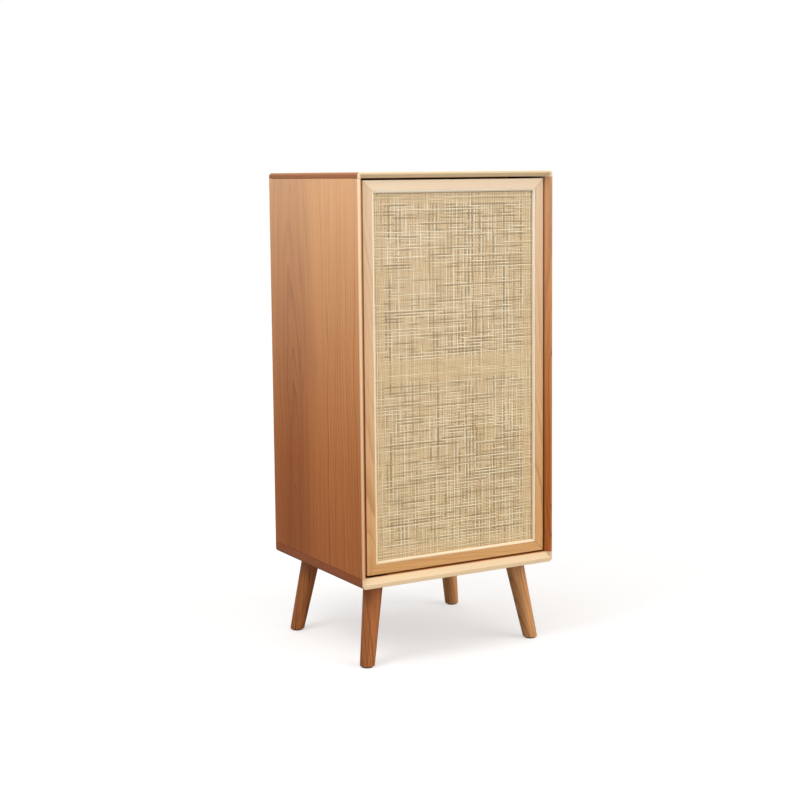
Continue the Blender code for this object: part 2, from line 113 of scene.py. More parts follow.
class NodeBuilder:
    """Adds and links nodes in one tree, whatever its kind."""

    def __init__(self, tree: bpy.types.NodeTree) -> None:
        """Keep the tree that nodes are added to."""
        self.tree = tree

    def add(self, kind: str, inputs: dict | None = None, **settings: object) -> bpy.types.Node:
        """Add a node.

        Args:
            kind: Blender's name for the node type.
            inputs: Values or sockets by input name or index.
            settings: Attributes of the node itself.

        Returns:
            The new node.
        """
        node = self.tree.nodes.new(kind)
        for name, value in settings.items():
            setattr(node, name, value)
        for key, value in (inputs or {}).items():
            if isinstance(value, bpy.types.NodeSocket):
                self.tree.links.new(value, node.inputs[key])
            else:
                node.inputs[key].default_value = value
        return node

    def math(self, operation: str, *values: object) -> bpy.types.NodeSocket:
        """Add a Math node on up to three values or sockets and return its result."""
        return self.add("ShaderNodeMath", dict(enumerate(values)), operation=operation).outputs[0]

    def combine(self, x: object = 0.0, y: object = 0.0, z: object = 0.0) -> bpy.types.NodeSocket:
        """Join three values or sockets into a vector."""
        return self.add("ShaderNodeCombineXYZ", {0: x, 1: y, 2: z}).outputs[0]

    def noise(self, vector: object, scale: float, detail: float = 2.0,
              roughness: float = 0.5) -> bpy.types.NodeSocket:
        """Add a Noise Texture.

        Args:
            vector: The place to read the noise at.
            scale: Noise per metre.
            detail: Layers of finer noise.
            roughness: Strength of the finer layers.

        Returns:
            The noise, from 0 to 1.
        """
        node = self.add("ShaderNodeTexNoise", {
            "Vector": vector, "Scale": scale, "Detail": detail, "Roughness": roughness})
        return node.outputs[0]

    def stretched_noise(self, vector: object, stretch: Place, detail: float = 2.0,
                        roughness: float = 0.5) -> bpy.types.NodeSocket:
        """Add a Noise Texture that is coarser along some axes than along others.

        Args:
            vector: The place to read the noise at.
            stretch: Noise per metre along each axis.
            detail: Layers of finer noise.
            roughness: Strength of the finer layers.

        Returns:
            The noise, from 0 to 1.
        """
        scaled = self.add("ShaderNodeVectorMath", {0: vector, 1: stretch}, operation="MULTIPLY")
        return self.noise(scaled.outputs[0], 1.0, detail, roughness)

    def centred(self, value: object, reach: float) -> bpy.types.NodeSocket:
        """Spread a value that runs from 0 to 1 over a reach, evenly round zero."""
        return self.math("MULTIPLY_ADD", value, reach, -reach / 2)

    def remap(self, value: object, low: float, high: float, to_low: float = 0.0,
              to_high: float = 1.0) -> bpy.types.NodeSocket:
        """Map a value from one range to another, clamped.

        Args:
            value: The value or socket to map.
            low: The value that gives to_low.
            high: The value that gives to_high.
            to_low: Result at low.
            to_high: Result at high.

        Returns:
            The mapped value.
        """
        node = self.add("ShaderNodeMapRange", {
            0: value, 1: low, 2: high, 3: to_low, 4: to_high})
        return node.outputs[0]

    def mix(self, factor: object, first: object, second: object,
            blend: str = "MIX") -> bpy.types.NodeSocket:
        """Mix two colours.

        Args:
            factor: How much of the second colour there is, from 0 to 1.
            first: A colour or a socket.
            second: A colour or a socket.
            blend: Blender's name for the way to mix.

        Returns:
            The mixed colour.
        """
        node = self.add("ShaderNodeMix", data_type="RGBA", blend_type=blend)
        for socket, value in ((node.inputs[0], factor), (node.inputs[6], first),
                              (node.inputs[7], second)):
            if isinstance(value, bpy.types.NodeSocket):
                self.tree.links.new(value, socket)
            else:
                socket.default_value = value
        return node.outputs[2]


def new_group(name: str, kind: str, inputs: dict[str, tuple[str, object]],
              outputs: dict[str, str]) -> tuple[NodeBuilder, bpy.types.Node, bpy.types.Node]:
    """Start a node group with named sockets.

    Args:
        name: The group's name.
        kind: ShaderNodeTree or GeometryNodeTree.
        inputs: Socket type and default value by input name.
        outputs: Socket type by output name.

    Returns:
        The builder, the group's input node and its output node.
    """
    tree = bpy.data.node_groups.new(name, kind)
    for label, (socket_type, value) in inputs.items():
        socket = tree.interface.new_socket(label, in_out="INPUT", socket_type=socket_type)
        if value is not None:
            socket.default_value = value
    for label, socket_type in outputs.items():
        tree.interface.new_socket(label, in_out="OUTPUT", socket_type=socket_type)
    build = NodeBuilder(tree)
    return build, build.add("NodeGroupInput"), build.add("NodeGroupOutput")


def rgba(colour: Colour) -> tuple[float, float, float, float]:
    """Add full opacity to a colour."""
    return (*colour, 1.0)


# --- Shared shader effects ------------------------------------------------------------------


@dataclass(frozen=True)
class GrainLayers:
    """Layers of the wood grain.

    A Place is how coarse a layer is, per metre across and along the grain. A Span is where a
    layer starts to show and where it shows fully.
    """

    sway: Place = (5.0, 5.0, 1.7)
    sway_reach: float = 0.085
    ripple: Place = (32.0, 32.0, 8.0)
    ripple_reach: float = 0.0070
    year_scale: float = 34.0
    year_reach: float = 0.045
    late_wood_power: float = 3.4
    ring_end: Span = (0.90, 1.0)
    ring_change: float = 1.3
    ring_step: float = 0.73
    ring_show: Span = (0.34, 0.62)
    faintest_ring: float = 0.12
    streak: Place = (240.0, 240.0, 2.6)
    streak_show: Span = (0.42, 0.70)
    fibre: Place = (1500.0, 1500.0, 26.0)
    fibre_show: Span = (0.35, 0.70)
    fibre_tint: float = 0.22
    cloud: Place = (9.0, 9.0, 2.2)
    cloud_show: Span = (0.3, 0.7)
    cloud_tint: float = 0.45
    pore: Place = (2300.0, 2300.0, 85.0)
    pore_show: Span = (0.60, 0.72)
    ring_pores: Span = (0.05, 0.6)
    fewest_pores: float = 0.25
    heart_reach: Span = (0.13, 0.05)
    roughness: float = 0.34
    roughness_spread: float = 0.16
    fibre_height: float = 0.5
    pore_height: float = 1.5


@dataclass(frozen=True)
class WearLayers:
    """Soft clouds and hairline scuffs: how coarse they are and where they show."""

    cloud_show: Span = (0.35, 0.75)
    scuff: Place = (1.0, 24.0, 3.0)
    scuff_show: Span = (0.4, 0.7)


GRAIN = GrainLayers()
WEAR = WearLayers()


class Effects:
    """Shader node groups that more than one finish places in its material."""

    def __init__(self) -> None:
        """Build each group once."""
        self.grain = self._grain()
        self.wear = self._wear()

    @staticmethod
    def _grain() -> bpy.types.NodeTree:
        """Make the wood grain: growth rings, streaks, fibres and pores, under painted highlight and
        painted shade.

        Returns:
            A group that turns a place in grain space, Z along the grain, into a colour,
            a roughness and a height.
        """
        build, given, result = new_group(
            "wood_grain", "ShaderNodeTree",
            {
                "Vector": ("NodeSocketVector", None),
                "Pale": ("NodeSocketColor", (0.8, 0.6, 0.4, 1.0)),
                "Mid": ("NodeSocketColor", (0.6, 0.4, 0.2, 1.0)),
                "Dark": ("NodeSocketColor", (0.4, 0.2, 0.1, 1.0)),
                "Ring Density": ("NodeSocketFloat", 210.0),
                "Ring Strength": ("NodeSocketFloat", 0.5),
                "Lean": ("NodeSocketVector", (0.0, 0.05, 0.0)),
                "Streaks": ("NodeSocketFloat", 0.4),
                "Pores": ("NodeSocketFloat", 0.4),
                "Heartwood": ("NodeSocketFloat", 0.0),
                "Fade": ("NodeSocketFloat", 0.0),
                "Faded": ("NodeSocketColor", (0.9, 0.8, 0.6, 1.0)),
                "Deepen": ("NodeSocketFloat", 0.0),
                "Deep": ("NodeSocketColor", (0.8, 0.6, 0.4, 1.0)),
            },
            {"Color": "NodeSocketColor", "Roughness": "NodeSocketFloat",
             "Height": "NodeSocketFloat"},
        )
        place = given.outputs["Vector"]
        parts = build.add("ShaderNodeSeparateXYZ", {0: place}).outputs
        swayed = build.centred(build.stretched_noise(place, GRAIN.sway), GRAIN.sway_reach)
        rippled = build.centred(build.stretched_noise(place, GRAIN.ripple), GRAIN.ripple_reach)
        lean = build.add("ShaderNodeSeparateXYZ", {0: given.outputs["Lean"]}).outputs
        sideways = build.math("MULTIPLY_ADD", parts[2], lean[0], parts[0])
        leaning = build.math("MULTIPLY_ADD", parts[2], lean[1], parts[1])
        depth = build.math("ADD", leaning, swayed)
        radius = build.add(
            "ShaderNodeVectorMath", {0: build.combine(sideways, depth)}, operation="LENGTH"
        ).outputs["Value"]
        uneven = build.noise(build.combine(build.math("MULTIPLY", radius, GRAIN.year_scale)), 1.0)
        spaced = build.math(
            "MULTIPLY_ADD", uneven, GRAIN.year_reach, build.math("ADD", radius, rippled))
        count = build.math("MULTIPLY", spaced, given.outputs["Ring Density"])
        saw = build.math("FRACT", count)
        late_wood = build.math("POWER", saw, GRAIN.late_wood_power)
        along = build.math("MULTIPLY", parts[2], GRAIN.ring_change)
        own = build.noise(build.combine(build.math("FLOOR", count), 0.0, along),
                          GRAIN.ring_step, detail=1.0)
        ring = build.math("MULTIPLY", late_wood, build.remap(saw, *GRAIN.ring_end, 1.0, 0.0))
        soft_ring = build.math(
            "MULTIPLY", ring, build.remap(own, *GRAIN.ring_show, GRAIN.faintest_ring))

        streak = build.stretched_noise(place, GRAIN.streak, detail=3.0, roughness=0.6)
        fibre = build.stretched_noise(place, GRAIN.fibre, detail=3.0, roughness=0.65)
        cloud = build.stretched_noise(place, GRAIN.cloud)
        pore_noise = build.stretched_noise(place, GRAIN.pore, detail=1.0)
        pores = build.math(
            "MULTIPLY", build.remap(pore_noise, *GRAIN.pore_show),
            build.remap(soft_ring, *GRAIN.ring_pores, GRAIN.fewest_pores))

        tinted = build.mix(build.remap(cloud, *GRAIN.cloud_show, 0.0, GRAIN.cloud_tint),
                           given.outputs["Pale"], given.outputs["Mid"])
        redder = build.math(
            "MULTIPLY", build.remap(radius, *GRAIN.heart_reach), given.outputs["Heartwood"])
        hearted = build.mix(redder, tinted, given.outputs["Dark"])
        ring_amount = build.math("MULTIPLY", soft_ring, given.outputs["Ring Strength"])
        ringed = build.mix(ring_amount, hearted, given.outputs["Dark"])
        streak_amount = build.math(
            "MULTIPLY", build.remap(streak, *GRAIN.streak_show), given.outputs["Streaks"])
        streaked = build.mix(streak_amount, ringed, given.outputs["Dark"])
        fine = build.mix(build.remap(fibre, *GRAIN.fibre_show, 0.0, GRAIN.fibre_tint), streaked,
                         given.outputs["Dark"])
        pore_amount = build.math("MULTIPLY", pores, given.outputs["Pores"])
        pored = build.mix(pore_amount, fine, given.outputs["Dark"])
        # Painted highlight and sheen make the wood paler; painted shade, and the end grain's own darker
        # colour, make it darker.
        highlighted = build.mix(given.outputs["Fade"], pored, given.outputs["Faded"])
        shaded_and_ends = build.mix(1.0, highlighted, given.outputs["Deep"], "MULTIPLY")
        final = build.mix(given.outputs["Deepen"], highlighted, shaded_and_ends)

        rough = build.math("MULTIPLY_ADD", fibre, GRAIN.roughness_spread, GRAIN.roughness)
        raised = build.math("MULTIPLY_ADD", fibre, GRAIN.fibre_height, soft_ring)
        sunk = build.math("MULTIPLY", pore_amount, GRAIN.pore_height)
        height = build.math("SUBTRACT", raised, sunk)
        for name, socket in (("Color", final), ("Roughness", rough), ("Height", height)):
            build.tree.links.new(socket, result.inputs[name])
        return build.tree

    @staticmethod
    def _wear() -> bpy.types.NodeTree:
        """Make fine wear: soft clouds and hairline scuffs.

        Returns:
            A group that turns a place into a mask of wear and a height.
        """
        build, given, result = new_group(
            "fine_wear", "ShaderNodeTree",
            {"Vector": ("NodeSocketVector", None), "Scale": ("NodeSocketFloat", 60.0)},
            {"Mask": "NodeSocketFloat", "Height": "NodeSocketFloat"},
        )
        scaled = build.add("ShaderNodeVectorMath", {
            0: given.outputs["Vector"], "Scale": given.outputs["Scale"]}, operation="SCALE")
        cloud = build.noise(scaled.outputs[0], 1.0, detail=3.0, roughness=0.6)
        scuff = build.stretched_noise(scaled.outputs[0], WEAR.scuff)
        mask = build.math("MULTIPLY", build.remap(cloud, *WEAR.cloud_show),
                          build.remap(scuff, *WEAR.scuff_show))
        build.tree.links.new(mask, result.inputs["Mask"])
        build.tree.links.new(build.math("ADD", cloud, scuff), result.inputs["Height"])
        return build.tree


@dataclass(frozen=True)
class WoodFinish:
    """Lacquered ash, with its grain in one direction.

    The heart is the middle of the growth rings, and the lean tilts them. The highlight fields say
    where painted highlight makes the wood paler: a painted sheen near the top, and a painted
    highlight on the front edge and in the mouth of the case. The shade fields say where painted
    shade makes it darker, low down and in the mouth; end_grain darkens the ends of a board, the
    end grain's own colour. Reaches and insets are in metres.
    """

    name: str
    pale: Colour
    mid: Colour
    dark: Colour
    grain: Grain = Grain.UPRIGHT
    heart: Place = (0.0, 0.0, 0.0)
    ring_density: float = 210.0
    ring_strength: float = 0.45
    lean: Place = (0.0, 0.05, 0.0)
    specular: float = 0.30
    coat: float = 0.06
    streaks: float = 0.22
    pores: float = 0.45
    heartwood: float = 0.0
    bump: float = 0.10
    by_attribute: bool = False
    # Colour of the painted highlight and sheen, then colour of the painted shade and of the darker end
    # grain.
    faded: Colour = (0.90, 0.70, 0.47)
    deep: Colour = (0.62, 0.44, 0.34)
    # Strength of the painted sheen near the top, the painted highlight on the front edge and in the
    # mouth, the painted shade in the mouth and the painted shade low down.
    highlight_top: float = 0.30
    highlight_front: float = 0.0
    highlight_mouth: float = 0.0
    shade_mouth: float = 0.0
    shade_low: float = 0.75
    end_grain: float = 0.0
    front_reach: float = 0.0095
    rim_reach: float = 0.0036
    rim_inset: float = 0.0035
    end_reach: float = 0.0045
    end_edge: float = 0.0005
    behind_rim: Span = (0.001, 0.003)
    # Height share where the painted sheen starts, and the heights over which the painted shade low down
    # grows.
    highlight_from: float = 0.40
    shade_span: Span = (0.95, 0.25)
    mouth_blend: float = 0.8
    rim_blend: float = 0.7
    inset_blend: float = 1.3
    bump_depth: float = 0.0006
    coat_roughness: float = 0.30

    def _masks(self, build: NodeBuilder, place: bpy.types.NodeSocket,
               ) -> tuple[bpy.types.NodeSocket, bpy.types.NodeSocket]:
        """Find where painted highlight makes the wood paler, and where painted shade and end grain make
        it darker.

        Args:
            build: Builder for the material's nodes.
            place: The place on the object.

        Returns:
            The painted highlight, and the painted shade together with the end grain, each from 0 to 1.
        """
        parts = build.add("ShaderNodeSeparateXYZ", {0: place}).outputs
        height = build.remap(parts[2], CAD_LOW[2], CAD_HIGH[2])
        # Painted sheen: paler towards the top.
        upper = build.remap(height, self.highlight_from, 1.0, 0.0, self.highlight_top)
        away = build.math("ABSOLUTE", parts[0])
        face = CAD_LOW[1]
        edge = CAD_HIGH[0]
        inside = build.remap(
            away, edge - self.rim_inset, edge - self.rim_inset * self.inset_blend)
        depth = build.remap(
            parts[1], face + self.front_reach * self.mouth_blend, face + self.front_reach,
            1.0, 0.0)
        mouth = build.math("MULTIPLY", depth, inside)
        # Painted highlight on the front edge and in the mouth.
        rim = build.remap(
            parts[1], face + self.rim_reach * self.rim_blend, face + self.rim_reach,
            self.highlight_front, 0.0)
        front = build.math("MAXIMUM", rim, build.math("MULTIPLY", mouth, self.highlight_mouth))
        painted_highlight = build.math("MAXIMUM", upper, front)
        # Painted shade low down; the darkening at the ends is the end grain's own colour.
        lower = build.remap(height, *self.shade_span, 0.0, self.shade_low)
        ends = build.remap(away, edge - self.end_reach, edge - self.end_edge,
                           0.0, self.end_grain)
        behind = build.remap(parts[1], *(face + reach for reach in self.behind_rim))
        # Painted shade in the mouth.
        mouth_shade = build.math("MULTIPLY", mouth, self.shade_mouth)
        shade_and_end_mask = build.math("ADD", build.math("ADD", lower, mouth_shade),
                            build.math("MULTIPLY", ends, behind))
        return painted_highlight, shade_and_end_mask

    def material(self, effects: Effects) -> bpy.types.Material:
        """Make the material.

        Args:
            effects: The shared shader groups.

        Returns:
            A lacquered wood material.
        """
        made, build, shader = new_material(self.name)
        if self.by_attribute:
            place = build.add(
                "ShaderNodeAttribute", attribute_name=GRAIN_ATTRIBUTE).outputs["Vector"]
        else:
            place = build.add("ShaderNodeTexCoord").outputs["Object"]
        centred = build.add(
            "ShaderNodeVectorMath", {0: place, 1: self.heart}, operation="SUBTRACT").outputs[0]
        turned = build.add(
            "ShaderNodeMapping", {"Vector": centred, "Rotation": self.grain.value}).outputs[0]
        grain = build.add("ShaderNodeGroup", node_tree=effects.grain)
        build.tree.links.new(turned, grain.inputs["Vector"])
        for label, value in (
            ("Pale", rgba(self.pale)), ("Mid", rgba(self.mid)), ("Dark", rgba(self.dark)),
            ("Ring Density", self.ring_density), ("Ring Strength", self.ring_strength),
            ("Lean", self.lean), ("Streaks", self.streaks), ("Pores", self.pores),
            ("Heartwood", self.heartwood),
        ):
            grain.inputs[label].default_value = value
        painted_highlight, shade_and_end_mask = self._masks(build, build.add("ShaderNodeTexCoord").outputs["Object"])
        build.tree.links.new(painted_highlight, grain.inputs["Fade"])
        build.tree.links.new(shade_and_end_mask, grain.inputs["Deepen"])
        grain.inputs["Faded"].default_value = rgba(self.faded)
        grain.inputs["Deep"].default_value = rgba(self.deep)
        bump = build.add("ShaderNodeBump", {
            "Height": grain.outputs["Height"], "Strength": self.bump,
            "Distance": self.bump_depth})
        build.tree.links.new(grain.outputs["Color"], shader.inputs["Base Color"])
        build.tree.links.new(grain.outputs["Roughness"], shader.inputs["Roughness"])
        build.tree.links.new(bump.outputs[0], shader.inputs["Normal"])
        shader.inputs["Specular IOR Level"].default_value = self.specular
        shader.inputs["Coat Weight"].default_value = self.coat
        shader.inputs["Coat Roughness"].default_value = self.coat_roughness
        return made


@dataclass(frozen=True)
class CaneFinish:
    """Split cane, each strand with its own tone and long fibres.

    The bands and the window say where wood lies close behind it; there its bounced light is painted
    into the cane, calmer and warmer.
    """

    name: str
    pale: Colour
    mid: Colour
    dark: Colour
    along: Grain
    warm: Colour = (0.84, 0.63, 0.35)
    low_tint: Colour = (0.90, 0.85, 0.74)
    low_reach: float = 0.2
    # Where wood lies behind the cane, and how its painted bounced light calms and warms the cane.
    bands: tuple[tuple[float, float, float], ...] = ()
    window: tuple[float, float, float] = (1.0, 0.0, 1.0)
    bounce_blur: float = 0.002
    bounce_calm: float = 0.30
    bounce_tone: float = 0.55
    bounce_warmth: float = 0.35
    dark_tones: Span = (0.16, 0.40)
    pale_tones: Span = (0.58, 0.80)
    fibre: Place = (2600.0, 2600.0, 40.0)
    fibre_show: Span = (0.42, 0.72)
    fibre_tint: float = 0.35
    patch: Place = (14.0, 14.0, 5.0)
    patch_show: Span = (0.40, 0.7)
    patch_warmth: float = 0.30
    joint: Place = (700.0, 700.0, 16.0)
    joint_show: Span = (0.66, 0.74)
    joint_tint: float = 0.40
    roughness: float = 0.38
    roughness_spread: float = 0.25
    bump: float = 0.35
    wear: float = 0.25

    def _painted_bounce(self, build: NodeBuilder, spots: object) -> bpy.types.NodeSocket:
        """Find where wood lies close behind the cane, where its bounced light is painted.

        Args:
            build: Builder for the material's nodes.
            spots: The place on the object, as its three parts.

        Returns:
            A mask from 0 to 1.
        """
        half_width, foot, head = self.window
        blur = self.bounce_blur
        away = build.math("ABSOLUTE", spots[0])
        mask = build.math("MAXIMUM", build.remap(away, half_width - blur, half_width + blur),
                          build.remap(spots[2], head - blur, head + blur))
        mask = build.math("MAXIMUM", mask, build.remap(spots[2], foot + blur, foot - blur))
        for low, high, amount in self.bands:
            middle = (low + high) / 2
            gap = build.math("ABSOLUTE", build.math("SUBTRACT", spots[2], middle))
            half = (high - low) / 2
            band = build.remap(gap, half + blur, half - blur, 0.0, amount)
            mask = build.math("MAXIMUM", mask, band)
        return mask

    def material(self, effects: Effects) -> bpy.types.Material:
        """Make the material.

        Args:
            effects: The shared shader groups.

        Returns:
            A dry, slightly glossy cane material.
        """
        made, build, shader = new_material(self.name)
        place = build.add("ShaderNodeTexCoord").outputs["Object"]
        tone = build.add("ShaderNodeAttribute", attribute_name=TONE_ATTRIBUTE).outputs["Fac"]
        turned = build.add(
            "ShaderNodeMapping", {"Vector": place, "Rotation": self.along.value}).outputs[0]
        fibre = build.stretched_noise(turned, self.fibre, detail=3.0, roughness=0.6)
        patch = build.stretched_noise(turned, self.patch, detail=3.0, roughness=0.6)
        joint = build.stretched_noise(turned, self.joint)
        spots = build.add("ShaderNodeSeparateXYZ", {0: place}).outputs
        bounce_light = self._painted_bounce(build, spots)
        # Painted bounced light: a calmer tone where wood lies behind.
        bounce_calmed = build.mix(build.math("MULTIPLY", bounce_light, self.bounce_calm),
                           build.combine(tone), build.combine(self.bounce_tone))
        steady = build.add("ShaderNodeSeparateXYZ", {0: bounce_calmed}).outputs[0]
        shaded = build.mix(build.remap(steady, *self.dark_tones), rgba(self.dark), rgba(self.mid))
        toned = build.mix(build.remap(steady, *self.pale_tones), shaded, rgba(self.pale))
        # Darker and yellower towards the bottom.
        lower = build.remap(spots[2], CAD_HIGH[2], CAD_LOW[2] + self.low_reach)
        tinted_low = build.mix(lower, toned, build.mix(1.0, toned, rgba(self.low_tint), "MULTIPLY"))
        # Random warm patches, and painted bounced light from the wood behind.
        patches_and_bounce = build.math(
            "MAXIMUM", build.remap(patch, *self.patch_show, 0.0, self.patch_warmth),
            build.math("MULTIPLY", bounce_light, self.bounce_warmth))
        warmed = build.mix(patches_and_bounce, tinted_low, rgba(self.warm))
        streaked = build.mix(build.remap(fibre, *self.fibre_show, 0.0, self.fibre_tint),
                             warmed, rgba(self.dark))
        spotted = build.mix(build.remap(joint, *self.joint_show, 0.0, self.joint_tint),
                            streaked, rgba(self.dark))
        rough = build.math("MULTIPLY_ADD", fibre, self.roughness_spread, self.roughness)
        bump = build.add("ShaderNodeBump", {
            "Height": fibre, "Strength": self.bump, "Distance": FINE_BUMP})
        wear = build.add("ShaderNodeGroup", node_tree=effects.wear)
        build.tree.links.new(place, wear.inputs["Vector"])
        final = build.mix(build.math("MULTIPLY", wear.outputs["Mask"], self.wear), spotted,
                          rgba(self.mid))
        build.tree.links.new(final, shader.inputs["Base Color"])
        build.tree.links.new(rough, shader.inputs["Roughness"])
        build.tree.links.new(bump.outputs[0], shader.inputs["Normal"])
        return made


@dataclass(frozen=True)
class MetalFinish:
    """Plated steel with faint clouds and scuffs."""

    name: str
    colour: Colour
    worn: Colour
    roughness: float = 0.32
    worn_roughness: float = 0.25
    wear_scale: float = 220.0
    bump: float = 0.06

    def material(self, effects: Effects) -> bpy.types.Material:
        """Make the material.

        Args:
            effects: The shared shader groups.

        Returns:
            A plated metal material.
        """
        made, build, shader = new_material(self.name)
        place = build.add("ShaderNodeTexCoord").outputs["Object"]
        wear = build.add("ShaderNodeGroup", node_tree=effects.wear)
        build.tree.links.new(place, wear.inputs["Vector"])
        wear.inputs["Scale"].default_value = self.wear_scale
        colour = build.mix(wear.outputs["Mask"], rgba(self.colour), rgba(self.worn))
        rough = build.math(
            "MULTIPLY_ADD", wear.outputs["Mask"], self.worn_roughness, self.roughness)
        bump = build.add("ShaderNodeBump", {
            "Height": wear.outputs["Height"], "Strength": self.bump, "Distance": FINE_BUMP})
        build.tree.links.new(colour, shader.inputs["Base Color"])
        build.tree.links.new(rough, shader.inputs["Roughness"])
        build.tree.links.new(bump.outputs[0], shader.inputs["Normal"])
        shader.inputs["Metallic"].default_value = 1.0
        return made


@dataclass(frozen=True)
class PlasticFinish:
    """Moulded plastic with a fine matt texture."""

    name: str
    colour: Colour
    worn: Colour
    roughness: float = 0.4
    pebble_roughness: float = 0.2
    pebble_scale: float = 2600.0
    wear_scale: float = 140.0
    bump: float = 0.15

    def material(self, effects: Effects) -> bpy.types.Material:
        """Make the material.

        Args:
            effects: The shared shader groups.

        Returns:
            A moulded plastic material.
        """
        made, build, shader = new_material(self.name)
        place = build.add("ShaderNodeTexCoord").outputs["Object"]
        wear = build.add("ShaderNodeGroup", node_tree=effects.wear)
        build.tree.links.new(place, wear.inputs["Vector"])
        wear.inputs["Scale"].default_value = self.wear_scale
        pebble = build.noise(place, self.pebble_scale)
        colour = build.mix(wear.outputs["Mask"], rgba(self.colour), rgba(self.worn))
        rough = build.math("MULTIPLY_ADD", pebble, self.pebble_roughness, self.roughness)
        bump = build.add("ShaderNodeBump", {
            "Height": pebble, "Strength": self.bump, "Distance": FINE_BUMP})
        build.tree.links.new(colour, shader.inputs["Base Color"])
        build.tree.links.new(rough, shader.inputs["Roughness"])
        build.tree.links.new(bump.outputs[0], shader.inputs["Normal"])
        return made


def new_material(name: str) -> tuple[bpy.types.Material, NodeBuilder, bpy.types.Node]:
    """Start a material.

    Args:
        name: The material's name.

    Returns:
        The material, a builder for its nodes and its Principled shader.
    """
    made = bpy.data.materials.new(name)
    made.use_nodes = True
    return made, NodeBuilder(made.node_tree), made.node_tree.nodes["Principled BSDF"]


# --- Mesh helpers ---------------------------------------------------------------------------


def new_piece(name: str, mesh: bpy.types.Mesh, material: bpy.types.Material) -> bpy.types.Object:
    """Put a mesh in the scene as a piece.

    Args:
        name: The piece's name.
        mesh: Its mesh, in place.
        material: Its only material.

    Returns:
        The piece.
    """
    made = bpy.data.objects.new(name, mesh)
    bpy.context.scene.collection.objects.link(made)
    mesh.materials.clear()
    mesh.materials.append(material)
    return made


def mesh_from(bm: bmesh.types.BMesh, name: str) -> bpy.types.Mesh:
    """Turn a bmesh into a mesh with merged doubles and outward faces.

    Args:
        bm: The bmesh, which is freed.
        name: The mesh's name.

    Returns:
        The mesh.
    """
    bmesh.ops.remove_doubles(bm, verts=bm.verts, dist=MERGE_DISTANCE)
    bmesh.ops.recalc_face_normals(bm, faces=bm.faces)
    mesh = bpy.data.meshes.new(name)
    bm.to_mesh(mesh)
    bm.free()
    return mesh


def applied(piece: bpy.types.Object) -> None:
    """Replace a piece's mesh with its evaluated mesh and drop its modifiers.

    Args:
        piece: The piece, which keeps its name and place.
    """
    graph = bpy.context.evaluated_depsgraph_get()
    mesh = bpy.data.meshes.new_from_object(piece.evaluated_get(graph), depsgraph=graph)
    piece.modifiers.clear()
    piece.data = mesh


def eased_copy(node: str, name: str, width: float, material: bpy.types.Material,
               segments: int = 2) -> bpy.types.Object:
    """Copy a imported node, with every sharp edge eased.

    Args:
        node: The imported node's name.
        name: The new piece's name.
        width: Width of the eased edge, in metres.
        material: The piece's material.
        segments: Facets across each eased edge.

    Returns:
        The piece, which replaces the node.
    """
    bm = bmesh.new()
    bm.from_mesh(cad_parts[node].data)
    bmesh.ops.remove_doubles(bm, verts=bm.verts, dist=MERGE_DISTANCE)
    bmesh.ops.dissolve_limit(
        bm, angle_limit=FLAT_ANGLE, verts=bm.verts, edges=bm.edges, delimit=set())
    mesh = mesh_from(bm, name)
    piece = new_piece(name, mesh, material)
    bevel = piece.modifiers.new("eased_edges", "BEVEL")
    bevel.width = width
    bevel.segments = segments
    bevel.limit_method = "ANGLE"
    bevel.angle_limit = EASED_ANGLE
    bevel.harden_normals = False
    mesh.shade_smooth()
    weighted = piece.modifiers.new("flat_faces", "WEIGHTED_NORMAL")
    weighted.keep_sharp = True
    applied(piece)
    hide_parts(node)
    return piece


def lathe(outline: list[tuple[float, float]], segments: int) -> bmesh.types.BMesh:
    """Revolve an outline about Z.

    Args:
        outline: Points of radius and height, from one end of the axis to the other.
        segments: Facets round the axis.

    Returns:
        The turned shape, closed at both ends.
    """
    bm = bmesh.new()
    verts = [bm.verts.new((radius, 0.0, height)) for radius, height in outline]
    edges = [bm.edges.new(pair) for pair in zip(verts, verts[1:])]
    bmesh.ops.spin(
        bm, geom=verts + edges, cent=(0, 0, 0), axis=(0, 0, 1), dvec=(0, 0, 0),
        angle=2.0 * math.pi, steps=segments, use_duplicate=False)
    bmesh.ops.remove_doubles(bm, verts=bm.verts, dist=MERGE_DISTANCE)
    return bm


def arc(centre: tuple[float, float], radius: float, start: float, end: float,
        steps: int) -> list[tuple[float, float]]:
    """Place points along an arc.

    Args:
        centre: The arc's middle.
        radius: Its radius.
        start: Angle of the first point, in degrees.
        end: Angle of the last point, in degrees.
        steps: Number of equal steps between them.

    Returns:
        The points.
    """
    points = []
    for step in range(steps + 1):
        angle = math.radians(start + (end - start) * step / steps)
        points.append((centre[0] + radius * math.cos(angle), centre[1] + radius * math.sin(angle)))
    return points


def finish_piece(piece: bpy.types.Object, body: Body) -> bpy.types.Object:
    """Ride a piece on its body and report it.

    Args:
        piece: The finished piece.
        body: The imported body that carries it.

    Returns:
        The same piece.
    """
    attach(piece, body.value)
    log.info("%s on %s, %d faces", piece.name, body.value, len(piece.data.polygons))
    return piece


def centre_of(node: str) -> Vector:
    """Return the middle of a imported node's box."""
    low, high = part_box(node)
    return (Vector(low) + Vector(high)) / 2


# --- Geometry Nodes -------------------------------------------------------------------------


